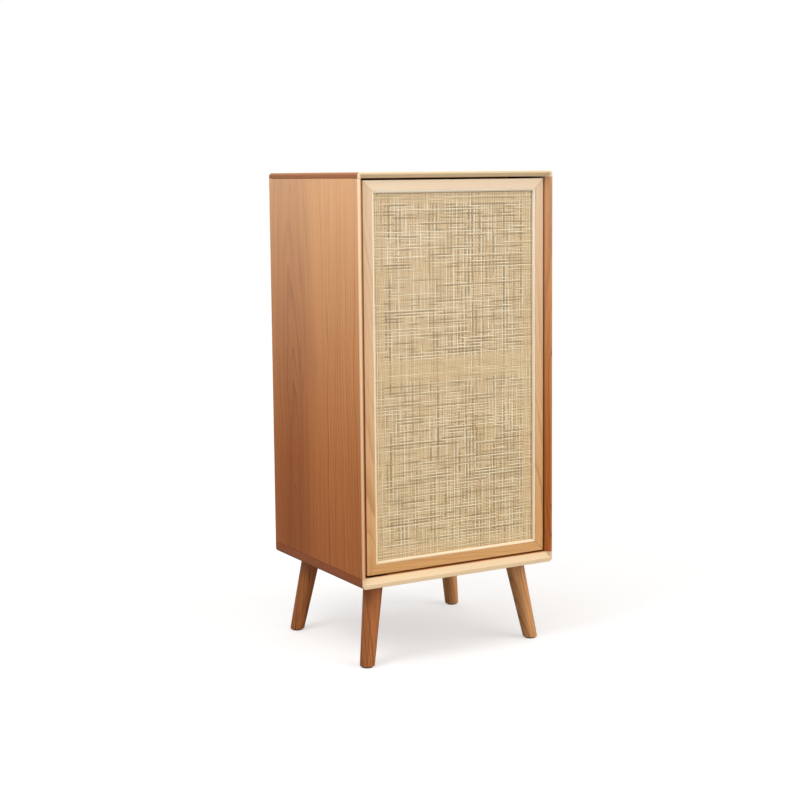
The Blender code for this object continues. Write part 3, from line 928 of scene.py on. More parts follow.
def run_tree(tree: bpy.types.NodeTree, name: str, values: dict[str, object],
             material: bpy.types.Material, base: bpy.types.Mesh | None = None) -> bpy.types.Object:
    """Run a Geometry Nodes tree and keep its result as a plain mesh.

    Args:
        tree: The tree, with a Material input among its named inputs.
        name: The new piece's name.
        values: Input values by name.
        material: The piece's material.
        base: A mesh that the tree starts from, if it needs one.

    Returns:
        The finished piece.
    """
    holder = bpy.data.objects.new(name, base or bpy.data.meshes.new(name + "_base"))
    bpy.context.scene.collection.objects.link(holder)
    step = holder.modifiers.new(name, "NODES")
    step.node_group = tree
    identifiers = {
        item.name: item.identifier for item in tree.interface.items_tree
        if item.item_type == "SOCKET" and item.in_out == "INPUT"}
    for label, value in {**values, "Material": material}.items():
        step[identifiers[label]] = value
    applied(holder)
    holder.data.materials.clear()
    holder.data.materials.append(material)
    return holder


@dataclass(frozen=True)
class StrandHabit:
    """How strands differ from one another and along their length.

    Noise is read this many times per metre, or this far apart from strand to strand.
    """

    seed_step: float = 7.3
    tone_seed_shift: float = 11.0
    tone_step: float = 5.3
    tone_show: Span = (0.40, 0.60)
    faintest_tone: float = 0.05
    least_tone: float = 0.16
    tone_spread: float = 0.32
    middle_tone: float = 0.5
    floating_tones: Span = (0.10, 0.20)
    floating_narrower: float = -0.34
    pull_along: float = 5.0
    pull_across: float = 14.0
    stray_along: float = 8.0
    stray_step: float = 3.7
    pull_reach: float = 2.0
    stray_reach: float = 4.0
    breadth_reach: float = 2.0


HABIT = StrandHabit()


class Trees:
    """Geometry Nodes trees, each built once."""

    def __init__(self) -> None:
        """Build each tree."""
        self.strands = self._strands()
        self.bored = self._bored()
        self.scatter = self._scatter()

    @staticmethod
    def _strands() -> bpy.types.NodeTree:
        """Make flat strands that run along X, side by side in Y, and weave up and down in Z.

        Returns:
            The tree.
        """
        build, given, result = new_group(
            "woven_strands", "GeometryNodeTree",
            {
                "Geometry": ("NodeSocketGeometry", None),
                "Strands": ("NodeSocketInt", 10),
                "Spacing": ("NodeSocketFloat", 0.005),
                "Crossings": ("NodeSocketInt", 10),
                "Crossing Pitch": ("NodeSocketFloat", 0.005),
                "Rise": ("NodeSocketFloat", 0.0004),
                "Strand Width": ("NodeSocketFloat", 0.003),
                "Strand Thickness": ("NodeSocketFloat", 0.0006),
                "Width Spread": ("NodeSocketFloat", 0.15),
                "Drift": ("NodeSocketFloat", 0.0005),
                "Stray": ("NodeSocketFloat", 0.0004),
                "Float": ("NodeSocketFloat", 0.0005),
                "Tone Change": ("NodeSocketFloat", 30.0),
                "Seed": ("NodeSocketInt", 1),
                "Turn": ("NodeSocketVector", (0.0, 0.0, 0.0)),
                "Place": ("NodeSocketVector", (0.0, 0.0, 0.0)),
                "Material": ("NodeSocketMaterial", None),
            },
            {"Geometry": "NodeSocketGeometry"},
        )
        half_span = build.math("MULTIPLY", build.math(
            "SUBTRACT", given.outputs["Strands"], 1.0), build.math(
                "MULTIPLY", given.outputs["Spacing"], -0.5))
        rows = build.add("GeometryNodeMeshLine", {
            "Count": given.outputs["Strands"],
            "Start Location": build.combine(0.0, half_span, 0.0),
            "Offset": build.combine(0.0, given.outputs["Spacing"], 0.0),
        })
        numbered = build.add("GeometryNodeStoreNamedAttribute", {
            "Geometry": rows.outputs[0], "Name": STRAND_ATTRIBUTE,
            "Value": build.add("GeometryNodeInputIndex").outputs[0]}, data_type="FLOAT")
        gaps = build.math("SUBTRACT", given.outputs["Crossings"], 1.0)
        half_length = build.math("MULTIPLY", build.math(
            "MULTIPLY", gaps, given.outputs["Crossing Pitch"]), 0.5)
        line = build.add("GeometryNodeCurvePrimitiveLine", {
            "Start": build.combine(build.math("MULTIPLY", half_length, -1.0)),
            "End": build.combine(half_length)})
        fine_line = build.add("GeometryNodeResampleCurve", {
            "Curve": line.outputs[0], "Count": given.outputs["Crossings"]})
        laid = build.add("GeometryNodeInstanceOnPoints", {
            "Points": numbered.outputs[0], "Instance": fine_line.outputs[0]})
        loose = build.add("GeometryNodeRealizeInstances", {"Geometry": laid.outputs[0]})

        strand = build.add("GeometryNodeInputNamedAttribute", {"Name": STRAND_ATTRIBUTE},
                           data_type="FLOAT").outputs[0]
        position = build.add("GeometryNodeInputPosition").outputs[0]
        parts = build.add("ShaderNodeSeparateXYZ", {0: position}).outputs
        crossing = build.math("DIVIDE", parts[0], given.outputs["Crossing Pitch"])
        first = build.math("MULTIPLY_ADD", given.outputs["Crossings"], 0.5, -0.5)
        phase = build.math("ADD", build.math("ADD", crossing, first), strand)
        wave = build.math("COSINE", build.math("MULTIPLY", phase, math.pi))
        seed = build.math("MULTIPLY", given.outputs["Seed"], HABIT.seed_step)
        identity = build.math("ROUND", strand)
        tone_seed = build.math("ADD", given.outputs["Seed"], HABIT.tone_seed_shift)
        chance = build.add("FunctionNodeRandomValue", {
            "ID": identity, "Seed": tone_seed}, data_type="FLOAT").outputs[1]
        changing = build.noise(build.combine(
            build.math("MULTIPLY", parts[0], given.outputs["Tone Change"]),
            build.math("MULTIPLY", identity, HABIT.tone_step), seed), 1.0, detail=1.0)
        most = build.math("MULTIPLY_ADD", chance, HABIT.tone_spread, HABIT.least_tone)
        strength = build.math(
            "MULTIPLY", build.remap(changing, *HABIT.tone_show, HABIT.faintest_tone), most)
        turn = build.math("COSINE", build.math("MULTIPLY", identity, math.pi))
        tone = build.math("MULTIPLY_ADD", strength, turn, HABIT.middle_tone)
        floating = build.remap(strength, *HABIT.floating_tones)
        rise = build.math("MULTIPLY", wave, given.outputs["Rise"])
        lifted = build.math("MULTIPLY", given.outputs["Float"], floating)
        bent = build.math("MULTIPLY_ADD", rise, build.math("SUBTRACT", 1.0, floating), lifted)
        pull = build.noise(build.combine(
            build.math("MULTIPLY", parts[0], HABIT.pull_along),
            build.math("MULTIPLY", parts[1], HABIT.pull_across), seed), 1.0)
        own = build.noise(build.combine(
            build.math("MULTIPLY", parts[0], HABIT.stray_along),
            build.math("MULTIPLY", strand, HABIT.stray_step), seed), 1.0, detail=1.0)
        shared = build.math(
            "MULTIPLY", build.centred(pull, HABIT.pull_reach), given.outputs["Drift"])
        single = build.math(
            "MULTIPLY", build.centred(own, HABIT.stray_reach), given.outputs["Stray"])
        drift = build.math("ADD", shared, single)
        toned = build.add("GeometryNodeStoreNamedAttribute", {
            "Geometry": loose.outputs[0], "Name": TONE_ATTRIBUTE, "Value": tone},
            data_type="FLOAT")
        moved = build.add("GeometryNodeSetPosition", {
            "Geometry": toned.outputs[0], "Offset": build.combine(0.0, drift, bent)})

        breadth = build.add("FunctionNodeRandomValue", {
            "ID": identity, "Seed": given.outputs["Seed"]}, data_type="FLOAT").outputs[1]
        uneven = build.math("MULTIPLY_ADD", build.centred(breadth, HABIT.breadth_reach),
                            given.outputs["Width Spread"], 1.0)
        narrower = build.math("MULTIPLY_ADD", floating, HABIT.floating_narrower, 1.0)
        width = build.math("MULTIPLY", uneven, narrower)
        sized = build.add("GeometryNodeSetCurveRadius", {
            "Curve": moved.outputs[0], "Radius": width})
        upright = build.add("GeometryNodeSetCurveNormal", {"Curve": sized.outputs[0]},
                            mode="Z_UP")
        profile = build.add("GeometryNodeCurvePrimitiveQuadrilateral", {
            "Width": given.outputs["Strand Width"], "Height": given.outputs["Strand Thickness"]})
        ribbons = build.add("GeometryNodeCurveToMesh", {
            "Curve": upright.outputs[0], "Profile Curve": profile.outputs[0], "Fill Caps": True})
        turned = build.add("GeometryNodeTransform", {
            "Geometry": ribbons.outputs[0], "Rotation": given.outputs["Turn"]})
        placed = build.add("GeometryNodeTransform", {
            "Geometry": turned.outputs[0], "Translation": given.outputs["Place"]})
        real = build.add("GeometryNodeRealizeInstances", {"Geometry": placed.outputs[0]})
        dressed = build.add("GeometryNodeSetMaterial", {
            "Geometry": real.outputs[0], "Material": given.outputs["Material"]})
        build.tree.links.new(dressed.outputs[0], result.inputs[0])
        return build.tree

    @staticmethod
    def _bored() -> bpy.types.NodeTree:
        """Bore two upright rows of holes in a board that stands across X.

        Returns:
            The tree.
        """
        build, given, result = new_group(
            "bored_rows", "GeometryNodeTree",
            {
                "Geometry": ("NodeSocketGeometry", None),
                "Holes": ("NodeSocketInt", 10),
                "Pitch": ("NodeSocketFloat", 0.032),
                "Row Spacing": ("NodeSocketFloat", 0.25),
                "First Hole": ("NodeSocketVector", (0.0, 0.0, 0.0)),
                "Radius": ("NodeSocketFloat", 0.0025),
                "Depth": ("NodeSocketFloat", 0.009),
                "Material": ("NodeSocketMaterial", None),
            },
            {"Geometry": "NodeSocketGeometry"},
        )
        drill = build.add("GeometryNodeMeshCylinder", {
            "Vertices": DRILL_SIDES, "Radius": given.outputs["Radius"],
            "Depth": build.math("MULTIPLY", given.outputs["Depth"], 2.0)})
        sideways = build.add("GeometryNodeTransform", {
            "Geometry": drill.outputs[0], "Rotation": (0.0, math.pi / 2, 0.0)})
        rows = []
        for shift in (0.0, 1.0):
            along = build.math("MULTIPLY", given.outputs["Row Spacing"], shift)
            start = build.add("ShaderNodeVectorMath", {
                0: given.outputs["First Hole"], 1: build.combine(0.0, along, 0.0)})
            line = build.add("GeometryNodeMeshLine", {
                "Count": given.outputs["Holes"], "Start Location": start.outputs[0],
                "Offset": build.combine(0.0, 0.0, given.outputs["Pitch"])})
            rows.append(build.add("GeometryNodeInstanceOnPoints", {
                "Points": line.outputs[0], "Instance": sideways.outputs[0]}).outputs[0])
        joined = build.add("GeometryNodeJoinGeometry")
        for row in rows:
            build.tree.links.new(row, joined.inputs[0])
        drills = build.add("GeometryNodeRealizeInstances", {"Geometry": joined.outputs[0]})
        cut = build.add("GeometryNodeMeshBoolean", operation="DIFFERENCE", solver="EXACT")
        build.tree.links.new(given.outputs["Geometry"], cut.inputs["Mesh 1"])
        build.tree.links.new(drills.outputs[0], cut.inputs["Mesh 2"])
        real = build.add("GeometryNodeRealizeInstances", {"Geometry": cut.outputs[0]})
        dressed = build.add("GeometryNodeSetMaterial", {
            "Geometry": real.outputs[0], "Material": given.outputs["Material"]})
        build.tree.links.new(dressed.outputs[0], result.inputs[0])
        return build.tree

    @staticmethod
    def _scatter() -> bpy.types.NodeTree:
        """Stand a small fitting on each point of a base mesh, along the point's normal.

        Returns:
            The tree.
        """
        build, given, result = new_group(
            "fittings_on_points", "GeometryNodeTree",
            {
                "Geometry": ("NodeSocketGeometry", None),
                "Fitting": ("NodeSocketObject", None),
                "Turn Seed": ("NodeSocketInt", 3),
                "Spin": ("NodeSocketFloat", FULL_TURN),
                "Material": ("NodeSocketMaterial", None),
            },
            {"Geometry": "NodeSocketGeometry"},
        )
        fitting = build.add("GeometryNodeObjectInfo", {"Object": given.outputs["Fitting"]})
        facing = build.add(
            "GeometryNodeInputNamedAttribute", {"Name": FACING_ATTRIBUTE}, data_type="FLOAT_VECTOR")
        aimed = build.add("FunctionNodeAlignRotationToVector", {
            "Vector": facing.outputs[0]}, axis="Z")
        spin = build.add("FunctionNodeRandomValue", {
            3: given.outputs["Spin"], "Seed": given.outputs["Turn Seed"]}, data_type="FLOAT")
        own = build.add("FunctionNodeAxisAngleToRotation", {
            "Axis": (0.0, 0.0, 1.0), "Angle": spin.outputs[1]})
        turned = build.add("FunctionNodeRotateRotation", {
            "Rotation": aimed.outputs[0], "Rotate By": own.outputs[0]}, rotation_space="LOCAL")
        stood = build.add("GeometryNodeInstanceOnPoints", {
            "Points": given.outputs["Geometry"], "Instance": fitting.outputs["Geometry"],
            "Rotation": turned.outputs[0]})
        real = build.add("GeometryNodeRealizeInstances", {"Geometry": stood.outputs[0]})
        dressed = build.add("GeometryNodeSetMaterial", {
            "Geometry": real.outputs[0], "Material": given.outputs["Material"]})
        build.tree.links.new(dressed.outputs[0], result.inputs[0])
        return build.tree


def points_mesh(places: list[Vector], facings: list[Vector], name: str) -> bpy.types.Mesh:
    """Make a mesh of loose points, each with the direction its fitting faces.

    Args:
        places: Where each fitting's origin goes.
        facings: Where each fitting's +Z points.
        name: The mesh's name.

    Returns:
        The mesh.
    """
    mesh = bpy.data.meshes.new(name)
    mesh.from_pydata([tuple(place) for place in places], [], [])
    facing = mesh.attributes.new(FACING_ATTRIBUTE, "FLOAT_VECTOR", "POINT")
    for index, direction in enumerate(facings):
        facing.data[index].vector = direction
    return mesh


@dataclass
class Fitting:
    """A small turned fitting that is repeated, made once at the origin facing +Z."""

    name: str
    outline: list[tuple[float, float]]
    segments: int = 16
    slot_width: float = 0.0
    slot_depth: float = 0.0
    slot_share: float = 0.62

    def scatter(self, trees: Trees, piece_name: str, places: list[Vector],
                facings: list[Vector], material: bpy.types.Material) -> bpy.types.Object:
        """Stand copies of the fitting at places.

        Args:
            trees: The Geometry Nodes trees.
            piece_name: Name of the piece that holds all the copies.
            places: Where each copy's origin goes.
            facings: Where each copy's +Z points.
            material: The piece's material.

        Returns:
            The piece.
        """
        bm = lathe(self.outline, self.segments)
        if self.slot_width:
            top = max(height for _, height in self.outline)
            reach = max(radius for radius, _ in self.outline)
            self._cut_cross(bm, top, reach)
        mesh = mesh_from(bm, self.name)
        model = bpy.data.objects.new(self.name, mesh)
        base = points_mesh(places, facings, piece_name + "_base")
        piece = run_tree(trees.scatter, piece_name, {"Fitting": model}, material, base)
        bpy.data.objects.remove(model, do_unlink=True)
        piece.data.shade_smooth()
        piece.data.set_sharp_from_angle(angle=FITTING_SHARP_ANGLE)
        return piece

    def _cut_cross(self, bm: bmesh.types.BMesh, top: float, reach: float) -> None:
        """Press a cross recess into the top of a revolved head.

        Args:
            bm: The head.
            top: Height of its top.
            reach: Its greatest radius.
        """
        for vert in bm.verts:
            on_cross = min(abs(vert.co.x), abs(vert.co.y)) < self.slot_width
            near_middle = vert.co.xy.length < reach * self.slot_share
            if on_cross and near_middle and vert.co.z > top - self.slot_depth:
                vert.co.z -= self.slot_depth


# --- The cabinet ----------------------------------------------------------------------------


# Paler towards the top as a painted sheen, and darker low down as painted shade.
HONEY = WoodFinish(
    name="honey_ash", pale=(0.72, 0.305, 0.088), mid=(0.60, 0.218, 0.053),
    dark=(0.30, 0.082, 0.018), faded=(0.90, 0.70, 0.47), highlight_top=0.33)
# Darker and more saturated low down as painted shade, and paler near the top as a painted sheen.
PALE = WoodFinish(
    name="pale_ash", pale=(0.82, 0.595, 0.390), mid=(0.75, 0.502, 0.287),
    dark=(0.47, 0.255, 0.115), ring_density=150.0, ring_strength=0.95, streaks=0.32,
    deep=(0.785, 0.49, 0.123), shade_low=0.65)
# Finish of the left legs: darker as painted shade, and a little darker low down as painted shade.
SHADED_LEG_ASH = WoodFinish(
    name="reddish_ash", pale=(0.56, 0.210, 0.062), mid=(0.37, 0.112, 0.027),
    dark=(0.060, 0.013, 0.002), by_attribute=True, ring_density=125.0, ring_strength=1.0,
    lean=(0.15, 0.03, 0.0), streaks=0.38, highlight_top=0.0, shade_low=0.2)
# Finish of the right legs: a paler copy as painted light, on the side the key light falls on.
LIT_LEG_ASH = replace(
    SHADED_LEG_ASH, name="tan_ash", pale=(0.80, 0.440, 0.190), mid=(0.66, 0.310, 0.110),
    dark=(0.220, 0.070, 0.018))


SATIN_ZINC = MetalFinish("satin_zinc", (0.62, 0.62, 0.61), (0.42, 0.41, 0.40))
NAIL_STEEL = MetalFinish("nail_steel", (0.42, 0.41, 0.39), (0.25, 0.23, 0.21))
PIN_NICKEL = MetalFinish("pin_nickel", (0.72, 0.70, 0.66), (0.50, 0.48, 0.44), 0.22)
DARK_BRONZE = MetalFinish("dark_bronze", (0.085, 0.060, 0.045), (0.14, 0.10, 0.07), 0.42)
LATCH_SHELL = PlasticFinish("latch_shell", (0.10, 0.085, 0.07), (0.15, 0.13, 0.11))
PLUNGER_RUBBER = PlasticFinish("plunger_rubber", (0.05, 0.05, 0.05), (0.09, 0.09, 0.09))
GLIDE_NYLON = PlasticFinish("glide_nylon", (0.045, 0.04, 0.035), (0.08, 0.07, 0.06))
WEFT_CANE = CaneFinish("weft_cane", (0.98, 0.88, 0.68), (0.83, 0.645, 0.41),
                       (0.40, 0.30, 0.175), Grain.ACROSS)
WARP_CANE = CaneFinish("warp_cane", (0.98, 0.89, 0.71), (0.84, 0.665, 0.43),
                       (0.42, 0.32, 0.19), Grain.UPRIGHT)


@dataclass
class Case:
    """The fixed boards, with eased edges, rows of shelf-pin holes and nails in the back."""

    trees: Trees
    effects: Effects
    ease: float = 0.0009
    back_ease: float = 0.0004
    shelf_ease: float = 0.0006
    first_shelf_heart: Place = (0.0, -0.1, 0.0)
    shelf_heart_step: Place = (0.3, 0.04, 0.1)
    hole_pitch: float = 0.032
    hole_radius: float = 0.0026
    hole_depth: float = 0.009
    spare_holes: int = 22
    nail_spacing: float = 0.085
    nail_inset: float = 0.0045
    nails: Fitting = field(default_factory=lambda: Fitting(
        "panel_nail", [(0.0, 0.0007), (0.0014, 0.0006), (0.0021, 0.0002), (0.0021, -0.0006),
                       (0.0, -0.0006)], segments=12))

    def build(self) -> None:
        """Make every fixed board."""
        self._ends()
        for side in Side:
            self._side(side)
        self._back()
        self._shelves()

    def _ends(self) -> None:
        """Make the top and the bottom board, with grain from side to side."""
        hearts = {"top_panel": (0.10, 0.05, 0.93), "bottom_panel": (-0.2, -0.1, 0.05)}
        for node, heart in hearts.items():
            # Painted highlight on the front edge and in the mouth, painted shade low down, and the
            # darker end grain at the ends.
            finish = replace(HONEY, name=node + "_ash", grain=Grain.ACROSS, heart=heart,
                             faded=(0.86, 0.715, 0.47), deep=(0.46, 0.29, 0.22),
                             shade_low=0.25, highlight_front=0.88, highlight_mouth=0.86,
                             end_grain=1.0, end_reach=0.0075)
            piece = eased_copy(node, node + "_finished", self.ease, finish.material(self.effects))
            finish_piece(piece, Body.CASE)

    def _side(self, side: Side) -> None:
        """Make one side board and bore its rows of holes.

        Args:
            side: The side it stands on. The left board's front edge is paler as a painted highlight,
                and its mouth darker as painted shade.
        """
        label = side.name.lower()
        node = "side_panel_" + label
        # Painted highlight on the left front edge; painted shade in the mouth, stronger on the left.
        highlight_front, shade_mouth = (1.0, 0.45) if side is Side.LEFT else (0.0, 0.12)
        finish = replace(
            HONEY, name=node + "_ash", grain=Grain.UPRIGHT,
            heart=(side.value * 0.190, 0.105, 0.70), lean=(side.value * 0.06, 0.01, 0.0),
            ring_strength=1.0, ring_density=150.0, streaks=0.22, heartwood=0.42,
            dark=(0.27, 0.055, 0.008), specular=0.18, coat=0.03,
            highlight_front=highlight_front, shade_mouth=shade_mouth)
        material = finish.material(self.effects)
        plain = eased_copy(node, node + "_plain", self.ease, material)
        front = centre_of(f"pin_shelf_1_{label}_front")
        rear = centre_of(f"pin_shelf_1_{label}_rear")
        low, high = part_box(node)
        face = low[0] if side is Side.RIGHT else high[0]
        rows_below = math.floor((front.z - low[2]) / self.hole_pitch) - 1
        first = Vector((face, front.y, front.z - rows_below * self.hole_pitch))
        bored = run_tree(self.trees.bored, node + "_finished", {
            "Holes": self.spare_holes, "Pitch": self.hole_pitch,
            "Row Spacing": rear.y - front.y, "First Hole": first,
            "Radius": self.hole_radius, "Depth": self.hole_depth}, material, plain.data)
        log.info("%s: lowest hole %.3f m up", node, first.z)
        bpy.data.objects.remove(plain, do_unlink=True)
        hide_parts(node)
        finish_piece(bored, Body.CASE)

    def _back(self) -> None:
        """Finish the back panel and nail it round its edge."""
        finish = replace(HONEY, name="back_panel_ash", grain=Grain.UPRIGHT,
                         heart=(0.02, 0.26, 0.3), pale=(0.70, 0.47, 0.27))
        piece = eased_copy("back_panel", "back_panel_finished", self.back_ease,
                           finish.material(self.effects), segments=1)
        finish_piece(piece, Body.CASE)
        places = self._nail_places(*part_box("back_panel"))
        nails = self.nails.scatter(
            self.trees, "back_panel_nails", places, [Vector((0, 1, 0))] * len(places),
            NAIL_STEEL.material(self.effects))
        finish_piece(nails, Body.CASE)

    def _nail_places(self, low: Place, high: Place) -> list[Vector]:
        """Space nails evenly round the edge of the back panel.

        Args:
            low: The panel's lowest corner.
            high: The panel's highest corner.

        Returns:
            The nails' places on its rear face: up both sides, then between them.
        """
        inset = self.nail_inset
        wide = high[0] - low[0]
        tall = high[2] - low[2]
        places = []
        for x in (low[0] + inset, high[0] - inset):
            count = round(tall / self.nail_spacing)
            for index in range(count + 1):
                z = low[2] + inset + (tall - 2 * inset) * index / count
                places.append(Vector((x, high[1], z)))
        for z in (low[2] + inset, high[2] - inset):
            count = round(wide / self.nail_spacing)
            for index in range(1, count):
                x = low[0] + inset + (wide - 2 * inset) * index / count
                places.append(Vector((x, high[1], z)))
        return places

    def _shelves(self) -> None:
        """Give each shelf its own length of grain."""
        for number in SHELF_NUMBERS:
            node = f"shelf_{number}"
            heart = tuple(start + step * number for start, step in zip(
                self.first_shelf_heart, self.shelf_heart_step))
            finish = replace(HONEY, name=node + "_ash", grain=Grain.ACROSS, heart=heart,
                             pale=(0.86, 0.66, 0.44), mid=(0.76, 0.54, 0.33))
            piece = eased_copy(
                node, node + "_finished", self.shelf_ease, finish.material(self.effects))
            finish_piece(piece, Body.CASE)


@dataclass
class ShelfPins:
    """Plated pins, pushed into the bores under each shelf."""

    trees: Trees
    effects: Effects
    radius: float = 0.0025
    chamfer: float = 0.0006
    grip: Span = (0.0068, 0.0078)

    def build(self) -> None:
        """Stand a pin in each bore, facing into the case."""
        places = []
        facings = []
        nodes = []
        for number in SHELF_NUMBERS:
            for side in Side:
                for row in ("front", "rear"):
                    node = f"pin_shelf_{number}_{side.name.lower()}_{row}"
                    low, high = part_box(node)
                    tip = low[0] if side is Side.RIGHT else high[0]
                    middle = centre_of(node)
                    places.append(Vector((tip, middle.y, middle.z)))
                    facings.append(Vector((-side.value, 0.0, 0.0)))
                    nodes.append(node)
        low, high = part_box(nodes[0])
        length = high[0] - low[0]
        outline = [(0.0, 0.0), (self.radius - self.chamfer, 0.0), (self.radius, -self.chamfer)]
        outline += [(self.radius, -depth) for depth in (*self.grip, length)]
        outline.append((0.0, -length))
        pin = Fitting("shelf_pin", outline, segments=20)
        piece = pin.scatter(self.trees, "shelf_pins", places, facings,
                            PIN_NICKEL.material(self.effects))
        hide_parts(*nodes)
        finish_piece(piece, Body.CASE)


@dataclass
class Door:
    """The mitred frame, its mid rail, beads and woven cane."""

    trees: Trees
    effects: Effects
    ease: float = 0.0010
    bead_ease: float = 0.0003
    warps: int = 91
    wefts: int = 239
    rise: float = 0.00040
    cane_thickness: float = 0.00050
    warp_cover: float = 0.66
    weft_cover: float = 0.66
    drift: float = 0.00070
    warp_stray: float = 0.00110
    weft_stray: float = 0.00080
    warp_float: float = 0.00046
    weft_float: float = 0.00050
    warp_tone_change: float = 12.0
    weft_tone_change: float = 17.0
    warp_spread: float = 0.30
    weft_spread: float = 0.25
    warp_seed: int = 9
    weft_seed: int = 5
    # How much painted light bounced off the mid rail and off the shelf edges shows in the cane.
    rail_bounce: float = 1.0
    shelf_bounce: float = 0.30

    def build(self) -> None:
        """Make everything that swings with the door, except its fittings."""
        self._frame()
        self._beads()
        self._cane()

    def _frame(self) -> None:
        """Make the stiles and rails, each with its own board of grain."""
        members = (
            ("door_hinge_stile", Grain.UPRIGHT, (-0.17, 0.02, 0.4)),
            ("door_latch_stile", Grain.UPRIGHT, (0.26, -0.12, 0.9)),
            ("door_top_rail", Grain.ACROSS, (0.1, -0.13, 1.03)),
            ("door_bottom_rail", Grain.ACROSS, (-0.05, -0.1, 0.13)),
            ("door_mid_rail", Grain.ACROSS, (0.2, -0.1, 0.52)),
        )
        # Paler towards the top as a painted sheen, strongest on the rails.
        upright = replace(PALE, highlight_top=0.45, faded=(0.80, 0.62, 0.44))
        across = replace(PALE, highlight_top=0.80, faded=(0.90, 0.74, 0.55))
        for node, grain, heart in members:
            wood = upright if grain is Grain.UPRIGHT else across
            finish = replace(wood, name=node + "_ash", grain=grain, heart=heart)
            piece = eased_copy(node, node + "_finished", self.ease, finish.material(self.effects))
            finish_piece(piece, Body.DOOR)

    def _beads(self) -> None:
        """Make the quarter-round beads that hold the cane."""
        for place in ("left", "right", "top", "bottom"):
            node = "door_bead_" + place
            grain = Grain.UPRIGHT if place in ("left", "right") else Grain.ACROSS
            # Painted sheen near the top and painted shade low down, as on the frame.
            finish = replace(PALE, name=node + "_ash", grain=grain, heart=(0.31, -0.05, 0.2),
                             pale=(0.97, 0.90, 0.74), mid=(0.95, 0.86, 0.68), ring_strength=0.15,
                             faded=(0.97, 0.91, 0.77), shade_low=0.3)
            piece = eased_copy(node, node + "_finished", self.bead_ease,
                               finish.material(self.effects), segments=1)
            finish_piece(piece, Body.DOOR)

    def _bounce_bands(self) -> tuple[tuple, tuple]:
        """Find the wood that lies close behind the cane, whose bounced light is painted into it.

        Returns:
            The bands (low, high, how much painted bounced light) and the window (half width, foot,
            head).
        """
        rail_low, rail_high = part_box("door_mid_rail")
        bands = [(rail_low[2], rail_high[2], self.rail_bounce)]
        for number in SHELF_NUMBERS:
            shelf_low, shelf_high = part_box(f"shelf_{number}")
            bands.append((shelf_low[2], shelf_high[2], self.shelf_bounce))
        window = (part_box("door_latch_stile")[0][0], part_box("door_bottom_rail")[1][2],
                  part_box("door_top_rail")[0][2])
        return tuple(bands), window

    def _cane(self) -> None:
        """Weave the cane from upright warps and level wefts."""
        low, high = (Vector(corner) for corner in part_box("door_rattan_panel"))
        size = high - low
        middle = (low + high) / 2
        warp_pitch = size.x / self.warps
        weft_pitch = size.z / self.wefts
        bands, window = self._bounce_bands()
        level, upright = (
            replace(cane, bands=bands, window=window).material(self.effects)
            for cane in (WEFT_CANE, WARP_CANE))
        shared = {"Strand Thickness": self.cane_thickness, "Drift": self.drift, "Place": middle}
        wefts = run_tree(self.trees.strands, "cane_wefts", {
            **shared, "Strands": self.wefts, "Spacing": weft_pitch, "Crossings": self.warps,
            "Crossing Pitch": warp_pitch, "Rise": self.rise,
            "Strand Width": weft_pitch * self.weft_cover, "Width Spread": self.weft_spread,
            "Stray": self.weft_stray, "Seed": self.weft_seed, "Float": self.weft_float,
            "Tone Change": self.weft_tone_change, "Turn": (math.pi / 2, 0.0, 0.0)}, level)
        warps = run_tree(self.trees.strands, "cane_warps", {
            **shared, "Strands": self.warps, "Spacing": warp_pitch, "Crossings": self.wefts,
            "Crossing Pitch": weft_pitch, "Rise": -self.rise,
            "Strand Width": warp_pitch * self.warp_cover, "Width Spread": self.warp_spread,
            "Stray": self.warp_stray, "Seed": self.warp_seed, "Float": self.warp_float,
            "Tone Change": self.warp_tone_change,
            "Turn": (math.pi / 2, math.pi / 2, 0.0)}, upright)
        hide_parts("door_rattan_panel")
        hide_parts("door_rattan_panel")
        finish_piece(wefts, Body.DOOR)
        finish_piece(warps, Body.DOOR)


